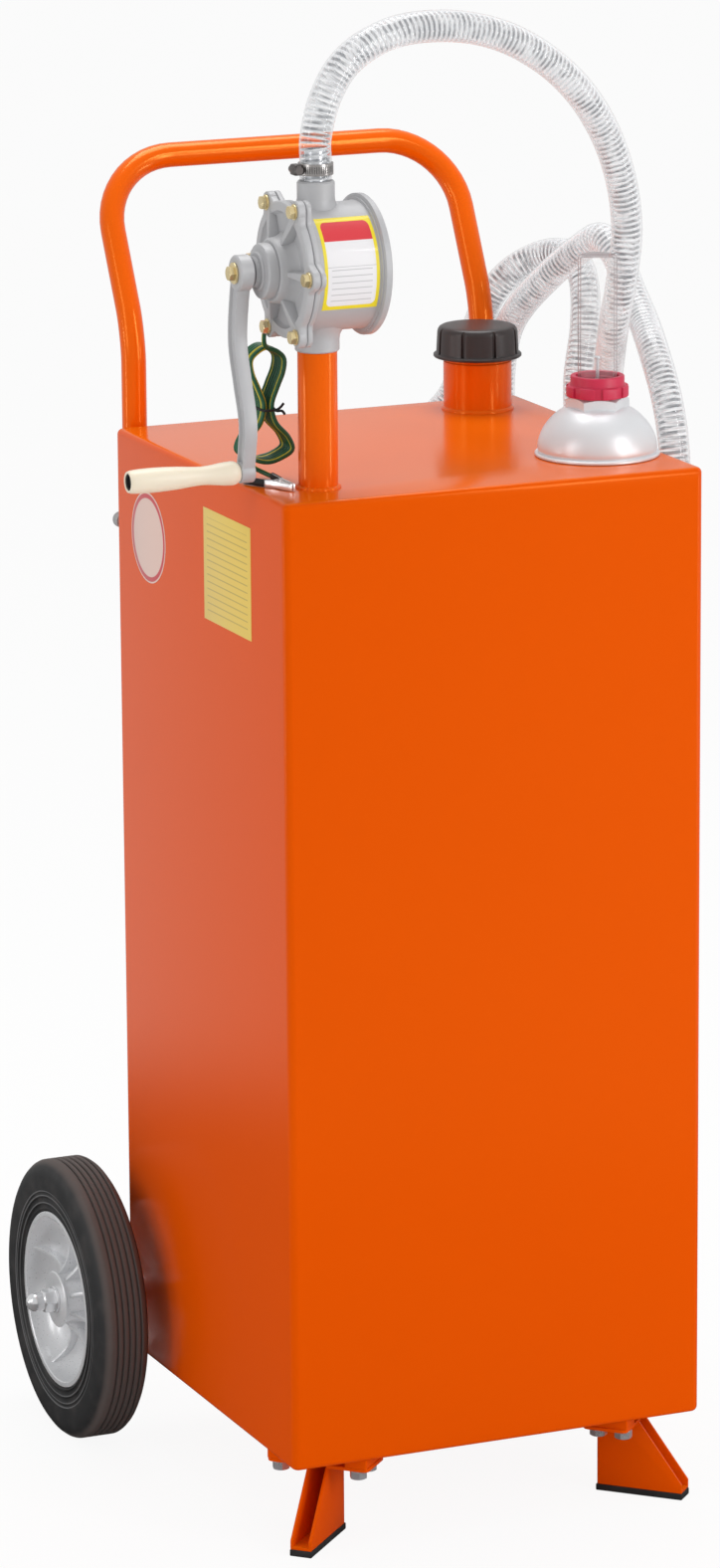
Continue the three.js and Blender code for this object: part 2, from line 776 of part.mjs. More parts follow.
function crank(group) {
  const shaftEnd = eyeFront + gap;
  const shaft = cut(
    bar('x', shaftRadius, shaftEnd, pumpBack - rearWall / 2 - gap, sides),
    bar('x', crankBoltShank + gap, shaftEnd - overrun, eyeFront + crankBoltDeep, boltSides),
  );
  piece('pump_shaft', shaft, steel, group);

  const rotorBack = pumpBack - rearWall - gap;
  const rotorFront = -pumpFront;
  const slotInner = vaneReach - vaneWide;
  let rotor = cut(
    bar('x', rotorRadius, rotorFront, rotorBack, fineSides),
    bar('x', shaftRadius + gap, rotorFront - overrun, rotorBack + overrun, sides),
  );
  for (const [number, side] of [[1, 1], [2, -1]]) {
    const slot = block(
      [rotorFront - overrun, slotInner - gap, -vaneThick / 2 - gap],
      [rotorBack + overrun, rotorRadius + overrun, vaneThick / 2 + gap],
    );
    const vane = block(
      [rotorFront, slotInner, -vaneThick / 2], [rotorBack, vaneReach, vaneThick / 2]);
    const turn = side > 0 ? 0 : 180;
    rotor = rotor.subtract(slot.rotate(turn, 0, 0));
    piece(`pump_vane_${number}`, vane.rotate(turn, 0, 0), steel, group);
  }
  piece('pump_rotor', rotor, castGrey, group);

  const sway = armSwayShares.map((share) => share * armSway);
  const down = armSwayPlaces.map((share) => -share * armLong);
  const middle = new THREE.CatmullRomCurve3(
    sway.map((y, i) => new THREE.Vector3(0, y, down[i])));
  const tip = new THREE.Vector3(0, sway.at(-1), down.at(-1));
  const armMiddle = (eyeBack + eyeFront) / 2;
  let arm = plate('x', ribbon(middle), armMiddle - armThick / 2, armMiddle + armThick / 2);
  arm = join(
    arm,
    bar('x', eyeRadius, eyeFront, eyeBack, sides),
    bar('x', tipRadius, eyeFront, eyeBack, fewSides).translate(0, tip.y, tip.z),
  );
  arm = cut(
    arm,
    bar('x', shaftRadius + gap, eyeFront - overrun, eyeBack + overrun, sides),
    bar('x', pinRadius + gap, eyeFront - overrun, eyeBack + overrun, fewSides)
      .translate(0, tip.y, tip.z),
  );
  piece('crank_arm', arm, castGrey, group);

  const washerFace = eyeFront - gap - crankWasherThick;
  const bolt = join(
    bar('x', crankWasherRadius, washerFace, eyeFront - gap, sides),
    bar('x', crankBoltHead, washerFace - crankBoltHigh, washerFace + overrun, hexSides),
    bar('x', crankBoltShank, eyeFront - overrun, eyeFront + crankBoltDeep - gap, boltSides),
  );
  piece('crank_bolt', bolt, brass, group);

  const recessFace = gripOuter + gripRecess;
  const pin = join(
    bar('x', pinRadius, recessFace - gap - overrun, eyeBack, fewSides),
    bar('x', pinHead, recessFace - gap - pinHeadHigh, recessFace - gap, fewSides),
  );
  piece('grip_pin', pin.translate(0, tip.y, tip.z), steel, group);

  const grip = turned('x', gripProfile(), sides).subtract(
    bar('x', gripRecessRadius, gripOuter - overrun, recessFace, sides));
  piece('crank_grip', grip.translate(0, tip.y, tip.z), wood, group);
}

// The grip's turned outline, from its outer end to the arm, then back along its bore.
function gripProfile() {
  const along = [0, 0.03, 0.2, 0.42, 0.68, 0.88, 0.96, 1];
  const radii = [
    gripEnd, gripRound, gripSwell, gripRound, gripWaist, gripFlare, gripFlare, gripWaist];
  const outside = along.map((share, i) => [radii[i], gripOuter + share * gripLong]);
  return [[pinRadius + gap, gripOuter], ...outside, [pinRadius + gap, gripStart]];
}

// The arm's strip along a curve in y and z, which narrows from the shaft to the grip.
function ribbon(curve) {
  const one = [];
  const other = [];
  for (let i = 0; i <= armSteps; i += 1) {
    const half = armRootHalf + ((armTipHalf - armRootHalf) * i) / armSteps;
    const point = curve.getPoint(i / armSteps);
    const tangent = curve.getTangent(i / armSteps);
    one.push([point.y - tangent.z * half, point.z + tangent.y * half]);
    other.unshift([point.y + tangent.z * half, point.z - tangent.y * half]);
  }
  return polygon([...one, ...other]);
}

// Suction pipe with its strainer, outlet nipple and hose clamp
const pipeAboveFloor = 14;
const strainerRadius = 13;
const strainerHigh = 34;
const strainerSlot = 4;
const clampHigh = 10;
const clampThick = 1.2;
const clampAbove = 5;
const screwRadius = 4.5;
const screwLong = 14;
const screwHead = 4;

function pipes(group) {
  const inletLow = postHigh - pumpAxisHigh;
  const low = groundClear + sheet + pipeAboveFloor - pumpZ;
  let pipe = join(
    bar('z', pipeRadius, low, inletLow + pipeSeat, sides),
    bar('z', strainerRadius, low, low + strainerHigh, sides),
  ).subtract(bar('z', pipeBore, low + screwHead, inletLow + pipeSeat + overrun, sides));
  for (const turn of [0, 90]) {
    const slot = block(
      [-strainerRadius - overrun, -strainerSlot / 2, low + 2 * screwHead],
      [strainerRadius + overrun, strainerSlot / 2, low + strainerHigh - screwHead],
    );
    pipe = pipe.subtract(slot.rotate(0, 0, turn));
  }
  piece('suction_pipe', pipe, steel, group);

  const nipple = cut(
    bar('z', nippleRadius, outletHigh - nippleDeep, outletHigh + nippleOut, sides),
    bar('z', nippleBore, outletHigh - nippleDeep - overrun, outletHigh + nippleOut + overrun, sides),
  );
  piece('outlet_nipple', nipple, brass, group);

  const clampLow = outletHigh + clampAbove;
  const ring = hoseRadius + gap;
  const screwAt = -ring - clampThick - screwRadius + overrun;
  const clamp = cut(
    join(
      bar('z', ring + clampThick, clampLow, clampLow + clampHigh, sides),
      bar('y', screwRadius, -screwLong / 2, screwLong / 2, fewSides)
        .translate(screwAt, 0, clampLow + clampHigh / 2),
      bar('y', screwHead, -screwLong / 2 - screwHead, -screwLong / 2, hexSides)
        .translate(screwAt, 0, clampLow + clampHigh / 2),
    ),
    bar('z', ring, clampLow - overrun, clampLow + clampHigh + overrun, sides),
  );
  piece('hose_clamp', clamp, steel, group);
}

// Sight gauge
const domeRadius = 52.3;
const domeHigh = 43;
const domeWall = 2;
const domeRim = 1.5;
const domeTopRadius = 25;
const domeSteps = 4;
const gaugeHexRadius = 27.5;
const gaugeHexHigh = 8;
const collarLowRadius = 26.5;
const collarLowHigh = 9.5;
const collarTopRadius = 22.8;
const collarTopHigh = 8.5;
const collarNotches = 8;
const notchWide = 7;
const notchDeep = 2;
const sightRadius = 16.8;
const sightWall = 2;
const sightHigh = 121.7;
const sightRound = 3;
const rodRadius = 1.5;
const rodShows = 16;
const rodAbove = 4;
const stemRingRadius = 19.5;
const stemRingHigh = 9;
const stemFlangeRadius = 25;
const stemFlangeHigh = 2;
const stemBore = 1.8;
const stemWide = 12;
const stemThick = 3;
const stemOff = 8;
const pivotBelow = 434;
const pivotZ = tankTop - pivotBelow;
const pivotRadius = 2.5;
const pivotLong = 14;
const armRadius = 2.5;
const armEyeRadius = 6;
const armEyeWide = 5;
const armEyeGap = 1;
const floatArmLong = 250;
const floatEdge = 6;
const floatRadius = 24;
const floatLong = 60;
const floatDroop = 70;

function gauge() {
  const group = new THREE.Group();
  group.position.set(gaugeX, gaugeY, 0);
  caddy.add(group);
  const hexLow = tankTop + domeHigh;
  const hexTop = hexLow + gaugeHexHigh;

  const outside = [];
  const inside = [];
  const domeLow = tankTop + gap;
  const sweep = Math.acos(domeTopRadius / domeRadius);
  for (let i = 0; i <= domeSteps; i += 1) {
    const angle = (i / domeSteps) * sweep;
    const rise = Math.sin(angle) / Math.sin(sweep);
    const radius = Math.cos(angle) * domeRadius;
    if (i > 0) outside.push([radius, domeLow + rise * (domeHigh - gap)]);
    inside.unshift([radius - domeWall, domeLow + rise * (domeHigh - gap - domeWall)]);
  }
  const shell = turned('z', [
    [domeRadius + domeRim, domeLow],
    [domeRadius + domeRim, domeLow + domeWall],
    ...outside,
    [sightRadius, hexLow],
    [sightRadius, hexLow - domeWall],
    ...inside,
  ], fineSides);
  const dome = cut(
    join(
      shell,
      bar('z', gaugeHexRadius, hexLow - domeWall, hexTop, hexSides),
    ),
    bar('z', sightRadius - sightWall, hexLow - 2 * domeWall, hexTop + overrun, sides),
  );
  piece('gauge_dome', dome, steel, group);

  const collarLow = hexTop + gap;
  let collar = cut(
    join(
      bar('z', collarLowRadius, collarLow, collarLow + collarLowHigh, fineSides),
      bar('z', collarTopRadius, collarLow, collarLow + collarLowHigh + collarTopHigh, sides),
    ),
    bar('z', sightRadius + gap, collarLow - overrun,
      collarLow + collarLowHigh + collarTopHigh + overrun, sides),
  );
  for (let i = 0; i < collarNotches; i += 1) {
    const notch = block(
      [collarLowRadius - notchDeep, -notchWide / 2, collarLow - overrun],
      [collarLowRadius + overrun, notchWide / 2, collarLow + collarLowHigh + overrun],
    );
    collar = collar.subtract(notch.rotate(0, 0, (i * 360) / collarNotches));
  }
  piece('gauge_collar', collar, crimson, group);

  const sightTop = collarLow + sightHigh;
  const sight = turned('z', [
    [sightRadius - sightWall, collarLow],
    [sightRadius, collarLow],
    [sightRadius, sightTop - sightRound],
    [sightRadius - sightRound / 3, sightTop - sightRound / 3],
    [sightRadius - sightRound, sightTop],
    [rodRadius, sightTop],
    [rodRadius, sightTop - sightWall],
    [sightRadius - sightRound, sightTop - sightWall],
    [sightRadius - sightWall, sightTop - sightRound],
  ], sides).add(bar('z', 2 * rodRadius, sightTop - sightWall, sightTop, fewSides));
  piece('gauge_tube', sight, clear, group);

  const rodTop = collarLow + collarLowHigh + collarTopHigh + rodShows;
  piece('gauge_rod', bar('z', rodRadius, pivotZ + armEyeRadius + rodAbove, rodTop, boltSides), steel,
    group);

  const stem = cut(
    join(
      bar('z', stemRingRadius, tankTop - stemRingHigh, tankTop + overrun, sides),
      bar('z', stemFlangeRadius, tankTop + gap, tankTop + stemFlangeHigh, sides),
      block(
        [-stemWide / 2, stemOff - stemThick / 2, pivotZ - stemWide / 2],
        [stemWide / 2, stemOff + stemThick / 2, tankTop - stemRingHigh + overrun],
      ),
      bar('y', pivotRadius, stemOff - pivotLong, stemOff, fewSides).translate(0, 0, pivotZ),
    ),
    bar('z', stemBore, tankTop - 2 * stemRingHigh, tankTop + stemRingHigh, boltSides),
  );
  piece('gauge_stem', stem, steel, group);
}

// The float arm swings in the plane of x and z about a pivot on the stem. At rest the float is low.
function floatArm() {
  const turn = new THREE.Group();
  turn.position.set(gaugeX, gaugeY, pivotZ);
  turn.rotation.y = -THREE.MathUtils.degToRad(floatDroop);
  caddy.add(turn);
  const eyeY = stemOff - stemThick / 2 - armEyeGap - armEyeWide;
  const eye = cut(
    join(
      bar('y', armEyeRadius, eyeY, eyeY + armEyeWide, fewSides),
      bar('x', armRadius, -floatArmLong, -armEyeRadius + overrun, fewSides)
        .translate(0, eyeY + armEyeWide / 2, 0),
    ),
    bar('y', pivotRadius + gap, eyeY - overrun, eyeY + armEyeWide + overrun, fewSides),
  );
  piece('float_arm', eye, steel, turn);

  const float = turned('x', [
    [armRadius + gap, -floatArmLong],
    [floatRadius - floatEdge, -floatArmLong],
    [floatRadius, -floatArmLong + floatEdge],
    [floatRadius, -floatArmLong + floatLong - floatEdge],
    [floatRadius - floatEdge, -floatArmLong + floatLong],
    [armRadius + gap, -floatArmLong + floatLong],
  ], sides);
  piece('gauge_float', float.translate(0, eyeY + armEyeWide / 2, 0), blackPlastic, turn);
}

// Delivery hose: it climbs from the pump, hangs beside the tank, goes over a hump and hangs behind
// the tank, then comes back over the hump and down to the nozzle. Its points are chosen by hand.
const hoseRibs = 72;
const hoseRingPoints = 8;
const hoseGroove = 12.7;
const hoseMidBore = 9.4;
const hoseEndRings = 4;
const hosePoints = [
  [-137, -133, 1184], [-137, -133, 1200], [-137, -133, 1216],
  [-128, -132, 1249], [-107, -128, 1278],
  [-66, -121, 1298], [-10, -112, 1301], [42, -103, 1290], [88, -93, 1267],
  [128, -82, 1234], [158, -71, 1194], [177, -62, 1151], [186, -54, 1108],
  [186, -44, 1063], [188, -24, 1020], [201, 14, 976], [214, 54, 925],
  [215, 62, 872], [213, 44, 812], [212, 8, 772], [212, -30, 759],
  [212, -70, 776], [210, -96, 823], [209, -104, 885], [208, -101, 933],
  [209, -86, 965], [214, -52, 997], [225, -6, 1019], [228, 28, 1042],
  [226, 51, 1068], [223, 77, 1080], [216, 104, 1067], [204, 144, 1038],
  [195, 186, 1004], [197, 220, 974], [197, 232, 941], [198, 236, 905],
  [204, 243, 860], [202, 250, 808], [182, 255, 766], [147, 256, 750],
  [112, 256, 766], [94, 255, 804], [98, 254, 848], [125, 252, 884],
  [156, 249, 916], [168, 246, 948], [179, 244, 979], [192, 242, 1007],
  [210, 232, 1030], [230, 212, 1045], [241, 182, 1048], [241, 152, 1033],
  [232, 128, 995], [220, 116, 950], [219, 114, 917], [219, 114, 901], [219, 114, 885],
];

function curveThrough(points) {
  const vectors = points.map((point) => new THREE.Vector3(...point));
  return new THREE.CatmullRomCurve3(vectors, false, 'centripetal');
}

// A ribbed hose with its bore, as one closed surface. Each rib is a ring on its crest and a ring in
// the groove after it, and the bore has a ring at every rib. The bore is widened at both ends.
function ribbedHose(curve) {
  const outerRings = 2 * hoseRibs + 1;
  const positions = [];
  const indices = [];
  const frames = curve.computeFrenetFrames(outerRings - 1, false);
  const ring = (place, radius) => {
    const start = positions.length / 3;
    const centre = curve.getPointAt(place / (outerRings - 1));
    for (let i = 0; i < hoseRingPoints; i += 1) {
      const angle = (i / hoseRingPoints) * Math.PI * 2;
      const point = centre.clone()
        .addScaledVector(frames.normals[place], Math.cos(angle) * radius)
        .addScaledVector(frames.binormals[place], Math.sin(angle) * radius);
      positions.push(point.x, point.y, point.z);
    }
    return start;
  };
  const band = (from, to) => {
    for (let i = 0; i < hoseRingPoints; i += 1) {
      const next = (i + 1) % hoseRingPoints;
      indices.push(from + i, from + next, to + next);
      indices.push(from + i, to + next, to + i);
    }
  };
  const outer = [];
  for (let i = 0; i < outerRings; i += 1) {
    outer.push(ring(i, i % 2 === 0 ? hoseRadius : hoseGroove));
  }
  const inner = [];
  for (let i = 0; i < outerRings; i += 2) {
    const nearEnd = Math.min(i, outerRings - 1 - i) < hoseEndRings;
    inner.push(ring(i, nearEnd ? hoseBore : hoseMidBore));
  }
  for (let i = 0; i + 1 < outer.length; i += 1) band(outer[i], outer[i + 1]);
  for (let i = 0; i + 1 < inner.length; i += 1) band(inner[i + 1], inner[i]);
  band(inner[0], outer[0]);
  band(outer.at(-1), inner.at(-1));
  const geometry = new THREE.BufferGeometry();
  geometry.setAttribute('position', new THREE.Float32BufferAttribute(positions, 3));
  geometry.setIndex(indices);
  const faceted = geometry.toNonIndexed();
  faceted.computeVertexNormals();
  return faceted;
}

function hose() {
  const curve = curveThrough(hosePoints);
  piece('hose', ribbedHose(curve), clear);
  console.log(`hose length ${curve.getLength().toFixed(0)} mm`);
}

// Nozzle in its holster on the right wall
const nozzleOut = 26;
const nozzleFromBack = 79;
const nozzleBelow = 39;
const nozzleBarb = 20;
const nozzleBarbRadius = 9.5;
const nozzleBodyRadius = 13;
const nozzleBodyLong = 170;
const spoutRadius = 9.5;
const spoutLong = 66;
const spoutBore = 7;
const guardOut = 44;
const guardThick = 4;
const guardWide = 8;
const guardHigh = 118;
const guardBelow = 20;
const earInner = 15;
const earSlot = 5;
const leverOut = 24;
const leverLong = 92;
const leverThick = 4;
const leverWide = 4.4;
const leverTilt = 8;
const leverPin = 2.5;
const leverEye = 5.5;
const leverBelow = 32;
const holsterPlateThick = 3;
const holsterPlateHalf = 22;
const holsterPlateHigh = 90;
const holsterWeb = 10;
const cupRadius = 13.5;
const cupBore = 10;
const cupHigh = 44;

function nozzle() {
  const group = new THREE.Group();
  group.position.set(right + nozzleOut, back - nozzleFromBack, tankTop - nozzleBelow);
  caddy.add(group);
  const bodyTop = -gap;
  const bodyLow = bodyTop - nozzleBodyLong;
  const guardTop = bodyTop - guardBelow;
  const guardLow = guardTop - guardHigh;
  const pinZ = bodyTop - leverBelow;
  const strap = cut(
    block([0, -guardWide / 2, guardLow], [guardOut, guardWide / 2, guardTop]),
    block(
      [0, -guardWide, guardLow + guardThick],
      [guardOut - guardThick, guardWide, guardTop - guardThick],
    ),
  );
  const ears = cut(
    block([0, -guardWide / 2, pinZ - leverEye], [leverOut + leverEye, guardWide / 2, guardTop]),
    block(
      [earInner, -earSlot / 2, pinZ - leverEye - overrun],
      [leverOut + leverEye + overrun, earSlot / 2, pinZ + leverEye + overrun],
    ),
  );
  const body = cut(
    join(
      bar('z', nozzleBarbRadius, bodyTop - overrun, bodyTop + nozzleBarb, fewSides),
      bar('z', nozzleBodyRadius, bodyLow, bodyTop, sides),
      bar('z', spoutRadius, bodyLow - spoutLong, bodyLow + overrun, sides),
      strap,
      ears,
      bar('y', leverPin, -guardWide / 2, guardWide / 2, boltSides).translate(leverOut, 0, pinZ),
    ),
    bar('z', spoutBore, bodyLow - spoutLong - overrun, bodyTop + nozzleBarb + overrun, fewSides),
  );
  piece('nozzle_body', body, blackPlastic, group);

  const lever = cut(
    join(
      bar('y', leverEye, -leverWide / 2, leverWide / 2, fewSides),
      block(
        [-leverThick / 2, -leverWide / 2, -leverLong],
        [leverThick / 2, leverWide / 2, 0],
      ),
    ),
    bar('y', leverPin + gap, -leverWide, leverWide, boltSides),
  ).rotate(0, -leverTilt, 0).translate(leverOut, 0, pinZ);
  piece('nozzle_lever', lever, steel, group);

  const cupTop = bodyLow - gap;
  const wall = -nozzleOut;
  const plateTop = cupTop - overrun;
  const holster = cut(
    join(
      block(
        [wall, -holsterPlateHalf, plateTop - holsterPlateHigh],
        [wall + holsterPlateThick, holsterPlateHalf, plateTop],
      ),
      block(
        [wall + overrun, -holsterWeb / 2, cupTop - cupHigh],
        [0, holsterWeb / 2, cupTop],
      ),
      bar('z', cupRadius, cupTop - cupHigh, cupTop, sides),
    ),
    bar('z', cupBore, cupTop - cupHigh - overrun, cupTop + overrun, sides),
  );
  piece('nozzle_holster', holster, paint, group);
}

// Earthing lead: from the lower rear cover bolt down to a hank of loops, then to its clip
const hankLoops = 5.5;
const hankSteps = 20;
const hankX = -166;
const hankY = -97;
const hankTop = 1038;
const hankLow = 941;
const hankTopHalf = 15;
const hankLowHalf = 23;
const hankWaistHalf = 2.6;
const hankWaistShare = 0.45;
const hankBulgeShare = 0.62;
const hankSquareShare = 1.6;
const hankPitch = 4.7;
const leadOut = [[-172.3, -102.9, 1051.8], [-172.3, -102.2, 1047], [-170.4, -99.6, 1041.5]];
const leadIn = [
  [-170.5, -70, 938.5], [-171, -73.5, 933.5], [-166, -77.5, 930.2], [-162, -82.5, 928.1],
  [-160.7, -88.45, 927.5],
];

// Where a loop's run is, at a share of its height from the bottom.
function hankHalf(share) {
  const lobe = share > hankWaistShare ? hankTopHalf : hankLowHalf;
  const span = share > hankWaistShare ? 1 - hankWaistShare : hankWaistShare;
  const away = Math.abs(share - hankWaistShare) / span;
  return hankWaistHalf + (lobe - hankWaistHalf) * Math.sin(away * Math.PI * hankBulgeShare) ** 2;
}

function earthLead() {
  const points = [];
  const middle = (hankTop + hankLow) / 2;
  const half = (hankTop - hankLow) / 2;
  const total = hankLoops * hankSteps;
  for (let i = 0; i <= total; i += 1) {
    const angle = (i / hankSteps) * Math.PI * 2;
    const height = Math.cos(angle);
    const side = Math.sin(angle);
    const share = (height + 1) / 2;
    const round = Math.min(1, Math.abs(side) * hankSquareShare) * Math.sign(side);
    points.push([
      hankX + round * hankHalf(share),
      hankY + (i / hankSteps) * hankPitch,
      middle + height * half,
    ]);
  }
  const every = [...leadOut, ...points, ...leadIn];
  const curve = curveThrough(every);
  const steps = every.length + Math.ceil(hankLoops);
  piece('ground_wire', tube(curve, wireRadius, steps, hexSides), lead);
  const samples = curve.getSpacedPoints(steps * 2);
  const skip = Math.ceil((hankTopHalf / curve.getLength()) * samples.length);
  let least = Infinity;
  samples.forEach((a, i) => {
    for (let j = i + skip; j < samples.length; j += 1) {
      least = Math.min(least, a.distanceTo(samples[j]));
    }
  });
  console.log(`earth lead: least gap to itself ${(least - 2 * wireRadius).toFixed(2)} mm`);
}

// Spring clip, lying on its side on the tank's top with its two boots apart. Each lever is drawn
// from its jaw's tip along +X, with its own half of the clip towards +Y.
const clipFromPost = 27;
const clipTipAhead = 9.5;
const clipHeading = 101.5;
const clipLong = 52;
const clipHigh = 6.5;
const clipPivot = 22;
const clipPin = 1.2;
const clipEar = 3.4;
const clipEarThick = 1.3;
const clipWing = 6.5;
const clipSpread = 12.5;
const clipJaw = 2.6;
const clipArm = 3;
const bootStart = 30;
const bootExtra = 1;

function clip() {
  const turn = new THREE.Group();
  turn.position.set(pumpX - clipFromPost, pumpY - clipTipAhead, tankTop + gap);
  turn.rotation.z = THREE.MathUtils.degToRad(clipHeading);
  caddy.add(turn);
  const outline = polygon([
    [0, gap / 2],
    [clipPivot, gap / 2],
    [bootStart, clipWing],
    [clipLong, clipSpread],
    [clipLong, clipSpread + clipArm],
    [bootStart, clipWing + clipArm],
    [clipPivot, clipWing],
    [0, clipJaw],
  ]);
  const boot = polygon([
    [bootStart, clipWing - bootExtra],
    [clipLong, clipSpread - bootExtra],
    [clipLong, clipSpread + clipArm + bootExtra],
    [bootStart, clipWing + clipArm + bootExtra],
  ]);
  const pinHole = bar('z', clipPin + gap, -overrun, clipHigh + overrun, boltSides);
  const earLow = clipEarThick + gap;
  const earHigh = clipHigh - earLow;
  const lever = (low, high) => join(
    plate('z', outline, low, high),
    plate('z', boot, 0, clipHigh),
  );
  const ear = (low, high) => bar('z', clipEar, low, high, fewSides).translate(clipPivot, 0, 0);
  const room = bar('z', clipEar + gap, clipEarThick, clipHigh - clipEarThick, fewSides)
    .translate(clipPivot, 0, 0);
  const outer = join(
    cut(lever(0, clipHigh), room),
    ear(0, clipEarThick),
    ear(clipHigh - clipEarThick, clipHigh),
    bar('z', clipPin, 0, clipHigh, boltSides).translate(clipPivot, 0, 0),
  );
  piece('clip_jaw_1', outer, steel, turn);
  const inner = cut(
    join(lever(0, clipHigh), ear(earLow, earHigh)),
    bar('z', clipEar + gap, -overrun, earLow, fewSides).translate(clipPivot, 0, 0),
    bar('z', clipEar + gap, earHigh, clipHigh + overrun, fewSides).translate(clipPivot, 0, 0),
    pinHole.translate(clipPivot, 0, 0),
  ).mirror([0, 1, 0]);
  piece('clip_jaw_2', inner, steel, turn);
}

tank();
post();
fillNeck();
handle();
rearBumper();
foot(-1, 'left');
foot(1, 'right');
axle();
wheel(-1, 'left');
wheel(1, 'right');
const pump = new THREE.Group();
pump.position.set(pumpX, pumpY, pumpZ);
caddy.add(pump);
pumpBody(pump);
pumpCover(pump);
crank(pump);
pipes(pump);
gauge();
floatArm();
hose();
nozzle();
earthLead();
clip();

// The origin: under the middle of the box round everything but the hose, the lead and their ends
const leftEnd = pumpX + gripOuter;
const rightEnd = nutTip;
const frontEnd = pumpY - boltCircle - lobeRadius;
const backEnd = axleY + wheelDiameter / 2;
caddy.position.set(-(leftEnd + rightEnd) / 2, -(frontEnd + backEnd) / 2, 0);

export default caddy;
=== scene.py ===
import math

import bmesh
import bpy
from mathutils import Matrix, Vector, geometry


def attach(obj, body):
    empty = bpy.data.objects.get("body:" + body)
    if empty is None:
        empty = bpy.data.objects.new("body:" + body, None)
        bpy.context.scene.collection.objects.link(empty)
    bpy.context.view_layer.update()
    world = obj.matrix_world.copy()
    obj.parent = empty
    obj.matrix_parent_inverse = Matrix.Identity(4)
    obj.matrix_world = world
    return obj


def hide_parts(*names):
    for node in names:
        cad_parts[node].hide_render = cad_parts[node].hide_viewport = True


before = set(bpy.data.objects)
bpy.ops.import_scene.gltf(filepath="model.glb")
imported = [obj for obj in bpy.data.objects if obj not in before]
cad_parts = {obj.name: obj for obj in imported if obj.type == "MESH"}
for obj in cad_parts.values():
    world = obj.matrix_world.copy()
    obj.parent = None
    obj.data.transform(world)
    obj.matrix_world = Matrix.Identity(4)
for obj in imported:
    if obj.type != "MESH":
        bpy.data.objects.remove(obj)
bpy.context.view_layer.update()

scene = bpy.context.scene

# The shot: a pale floor that runs out into a white room, soft lamps from the front, the left and
# above, and a camera that looks down on the front left corner as in the photograph.
# The finishes of the whole object are drawn with the two small classes that start here.


class Signal:
    """A socket of a finish. Sums written on it become Math nodes."""

    def __init__(self, finish, socket):
        self.finish = finish
        self.socket = socket

    def sum(self, operation, *numbers):
        return self.finish.add(
            "ShaderNodeMath", {"operation": operation}, dict(enumerate(numbers)))

    def __add__(self, other):
        return self.sum("ADD", self, other)

    def __sub__(self, other):
        return self.sum("SUBTRACT", self, other)

    def __rsub__(self, other):
        return self.sum("SUBTRACT", other, self)

    def __mul__(self, other):
        return self.sum("MULTIPLY", self, other)

    def __truediv__(self, other):
        return self.sum("DIVIDE", self, other)

    __radd__ = __add__
    __rmul__ = __mul__

    def ease(self, low, high, start=0.0, end=1.0):
        """start below low, end above high, and a smooth step between them."""
        return self.finish.add(
            "ShaderNodeMapRange", {"interpolation_type": "SMOOTHSTEP"},
            {0: self, 1: low, 2: high, 3: start, 4: end})

    def only(self, operation):
        """A sum of this number alone, such as its root, its size or its fraction."""
        return self.sum(operation, self)

    def hypot(self, other):
        return (self * self + other * other).only("SQRT")

    def band(self, low, high, soft):
        """1 between low and high and 0 beyond, with both of its ends soft."""
        return self.ease(low, low + soft) * (1 - self.ease(high, high + soft))


class Finish:
    """One finish, as a material (or the room's world) whose nodes are added one by one."""

    def __init__(self, name, world=None):
        self.material = world or bpy.data.materials.new(name)
        self.material.use_nodes = True
        self.nodes = self.material.node_tree.nodes
        self.links = self.material.node_tree.links
        self.nodes.clear()

    def add(self, kind, settings=None, sockets=None, out=0):
        node = self.nodes.new(kind)
        for name, value in (settings or {}).items():
            setattr(node, name, value)
        for name, value in (sockets or {}).items():
            if isinstance(value, Signal):
                self.links.new(value.socket, node.inputs[name])
            else:
                node.inputs[name].default_value = value
        return Signal(self, node.outputs[out])

    def place(self):
        return self.add("ShaderNodeTexCoord", out="Object")

    def axes(self):
        """The x, y and z of the place on the piece, in metres."""
        parts = self.add("ShaderNodeSeparateXYZ", {}, {0: self.place()})
        outputs = parts.socket.node.outputs
        return [Signal(self, outputs[name]) for name in "XYZ"]

    def noise(self, scale, detail=2.0, stretch=None):
        where = self.place()
        if stretch:
            where = self.add(
                "ShaderNodeVectorMath", {"operation": "MULTIPLY"}, {0: where, 1: stretch})
        return self.add(
            "ShaderNodeTexNoise", {}, {"Vector": where, "Scale": scale, "Detail": detail})

    def mixed(self, share, one, other):
        return self.add(
            "ShaderNodeMix", {"data_type": "RGBA"}, {0: share, 6: one, 7: other}, out=2)

    def bump(self, height, depth, strength=1.0):
        return self.add(
            "ShaderNodeBump", {},
            {"Height": height, "Distance": depth, "Strength": strength})

    def surface(self, sockets):
        shader = self.add("ShaderNodeBsdfPrincipled", {}, sockets)
        return self.close(shader)

    def close(self, shader):
        world = isinstance(self.material, bpy.types.World)
        output = self.nodes.new(f"ShaderNodeOutput{'World' if world else 'Material'}")
        self.links.new(shader.socket, output.inputs["Surface"])
        return self.material


def tint(red, green, blue):
    """A colour as a painter's card gives it, 0 to 255, for a socket."""
    def linear(value):
        value /= 255
        return value / 12.92 if value <= 0.04045 else ((value + 0.055) / 1.055) ** 2.4
    return linear(red), linear(green), linear(blue), 1.0


